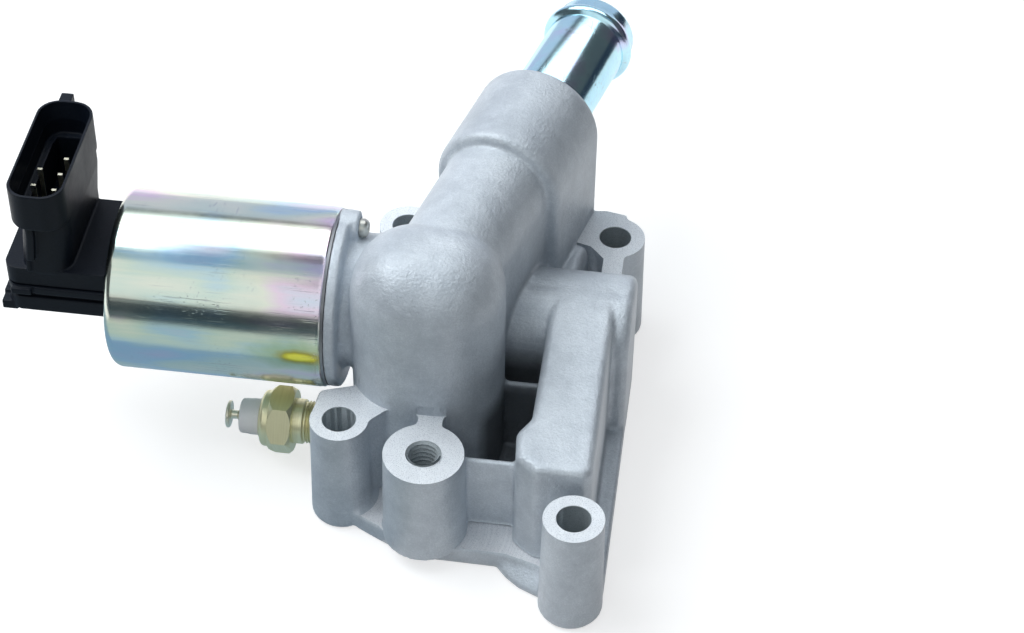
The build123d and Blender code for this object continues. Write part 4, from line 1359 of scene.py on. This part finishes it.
@dataclass
class Studio:
    """Floor, lamps, reflecting cards and the camera."""

    focal_px: float = 2461.17
    centre_px: tuple[float, float] = (501.83, 301.17)
    image_px: tuple[int, int] = (1024, 633)
    elevation: float = 43.41
    azimuth: float = 6.91
    roll: float = 0.87
    distance: float = 740.03
    aim_y: float = 52.97
    floor_size: float = 6.0
    floor_drop: float = 0.3
    floor_shade: Colour = (0.5, 0.505, 0.51)
    floor_glow: float = 0.66
    room_tint: Colour = (0.9, 0.95, 1.0)
    room_light: float = 0.1
    lamp_tint: Colour = (0.94, 0.975, 1.0)
    aim: Place = (0.0, 0.0, 0.05)

    def camera(self) -> None:
        """Sets the camera where the photograph was taken."""
        tilt, turn, roll = (math.radians(v) for v in (self.elevation, self.azimuth, self.roll))
        back = Vector((math.sin(turn) * math.cos(tilt), -math.cos(turn) * math.cos(tilt), math.sin(tilt)))
        level = Vector((math.cos(turn), math.sin(turn), 0.0))
        up = back.cross(level)
        right = level * math.cos(roll) + up * math.sin(roll)
        up = up * math.cos(roll) - level * math.sin(roll)
        data = bpy.data.cameras.new("camera")
        width, height = self.image_px
        data.sensor_width = 36.0
        data.lens = self.focal_px * data.sensor_width / width
        data.shift_x = (width / 2 - self.centre_px[0]) / width
        data.shift_y = (self.centre_px[1] - height / 2) / width
        data.clip_start, data.clip_end = 0.02, 50.0
        view = bpy.data.objects.new("camera", data)
        place = Matrix((right, up, back)).transposed().to_4x4()
        place.translation = back * self.distance * MM + Vector((0, self.aim_y * MM, 0))
        view.matrix_world = place
        bpy.context.scene.collection.objects.link(view)
        bpy.context.scene.camera = view

    def facing(self, place: Place, aim: Place, axis: str) -> Matrix:
        """Turn that points an axis of a thing from its place to its aim."""
        return (Vector(aim) - Vector(place)).to_track_quat(axis, "Y").to_matrix()

    def lamp(self, name: str, place: Place, size: Point, power: float, shown: bool) -> None:
        """Adds a soft box that faces the valve.

        Args:
            name: the lamp's name.
            place: its place in metres.
            size: width and height in metres.
            power: in watts.
            shown: whether it shows in reflections.
        """
        data = bpy.data.lights.new(name, "AREA")
        data.shape = "RECTANGLE"
        data.size, data.size_y = size
        data.energy = power
        data.color = self.lamp_tint
        box = bpy.data.objects.new(name, data)
        box.location = place
        box.rotation_euler = self.facing(place, self.aim, "-Z").to_euler()
        box.visible_glossy = shown
        bpy.context.scene.collection.objects.link(box)

    def card(self, name: str, place: Place, size: Point, shade: Colour, flat: bool = False) -> None:
        """Adds a card that only shows in reflections.

        Args:
            name: the card's name.
            place: its centre in metres.
            size: width and height in metres.
            shade: the light that it gives.
            flat: whether it lies on the floor and faces up, and not the valve.
        """
        shape = bmesh.new()
        bmesh.ops.create_grid(shape, x_segments=1, y_segments=1, size=0.5)
        turn = self.facing(place, (place[0], place[1], 1.0) if flat else self.aim, "Z").to_4x4()
        put(shape, Matrix.Translation(place) @ turn @ Matrix.Diagonal((*size, 1.0, 1.0)))
        card = new_piece(name, shape)
        material, sheet, shader, _ = new_material(name)
        sheet.fill(shader, Base_Color=(0, 0, 0, 1), Roughness=1.0, Specular_IOR_Level=0.0)
        sheet.fill(shader, Emission_Color=(*shade, 1.0), Emission_Strength=1.0)
        dress(card, material)
        card.visible_camera = False
        card.visible_diffuse = False
        card.visible_shadow = False

    def floor(self) -> None:
        """Adds the pale floor."""
        shape = bmesh.new()
        bmesh.ops.create_grid(shape, x_segments=1, y_segments=1, size=self.floor_size)
        floor = new_piece("floor", put(shape, at(0, 0, -self.floor_drop)))
        material, sheet, shader, _ = new_material("floor")
        sheet.fill(shader, Base_Color=(*self.floor_shade, 1.0), Roughness=0.95, Specular_IOR_Level=0.05)
        seen = sheet.node("ShaderNodeLightPath")
        shown = sheet.sums("MAXIMUM", seen.outputs["Is Camera Ray"], seen.outputs["Is Transmission Ray"])
        shown = sheet.sums("MAXIMUM", shown, seen.outputs["Is Glossy Ray"])
        glow = sheet.sums("MULTIPLY", shown, self.floor_glow)
        sheet.fill(shader, Emission_Color=(1.0, 1.0, 1.0, 1.0), Emission_Strength=glow)
        dress(floor, material)

    def world(self) -> None:
        """Lights the room evenly."""
        world = bpy.data.worlds.new("room")
        bpy.context.scene.world = world
        world.use_nodes = True
        ground = world.node_tree.nodes["Background"]
        Sheet(world.node_tree).fill(ground, Color=(*self.room_tint, 1.0), Strength=self.room_light)

    def build(self) -> None:
        """Builds the studio."""
        self.camera()
        self.floor()
        self.world()
        self.lamp("left_box", (-0.7, 0.1, 1.1), (0.8, 0.8), 8.8, True)
        self.lamp("front_box", (-0.3, -0.42, 1.15), (1.3, 1.1), 5.4, False)
        self.lamp("back_box", (-0.8, 0.8, 0.9), (1.0, 0.8), 4.6, False)
        self.lamp("top_box", (-0.1, 0.55, 1.2), (1.5, 1.0), 3.2, True)
        self.card("top_white", (-0.1, 0.46, 1.12), (1.4, 0.84), (2.0, 2.1, 2.15))
        self.card("back_grey", (-0.3, 1.7, 0.5), (3.4, 1.4), (0.62, 0.66, 0.80))
        self.card("front_top", (-0.4, -0.46, 1.25), (1.3, 1.0), (0.84, 0.88, 0.86))
        self.card("front_white", (0.0, -1.1, 0.8), (2.0, 0.9), (0.88, 0.93, 0.94))
        self.card("front_dark", (0.0, -1.3, 0.16), (3.0, 0.36), (0.03, 0.045, 0.06))
        self.card("floor_dark", (0.0, -0.75, 0.002), (2.6, 1.0), (0.05, 0.08, 0.11), True)
        self.card("near_floor", (-0.12, -0.16, 0.0006), (0.2, 0.19), (0.56, 0.64, 0.62), True)
        self.card("under_floor", (-0.12, -0.025, 0.0006), (0.2, 0.08), (0.32, 0.43, 0.52), True)
        self.card("right_dark", (1.1, 0.55, 0.16), (1.6, 0.4), (0.03, 0.04, 0.06))
        self.card("high_grey", (0.0, -0.27, 0.99), (1.5, 0.3), (0.30, 0.42, 0.54))
        bpy.context.scene.view_settings.view_transform = "Standard"


def main() -> None:
    """Builds the valve and its studio."""
    logging.basicConfig(level=logging.INFO, format="%(message)s")
    Studio().build()
    palette = Palette()
    CastHousing(palette).build()
    SolenoidCan(palette).build()
    CoolantSpigot(palette).build()
    TemperatureSensor(palette).build()
    PlugHead(palette).build()
    InnerWorks(palette).build()


if __name__ == "__main__":
    main()
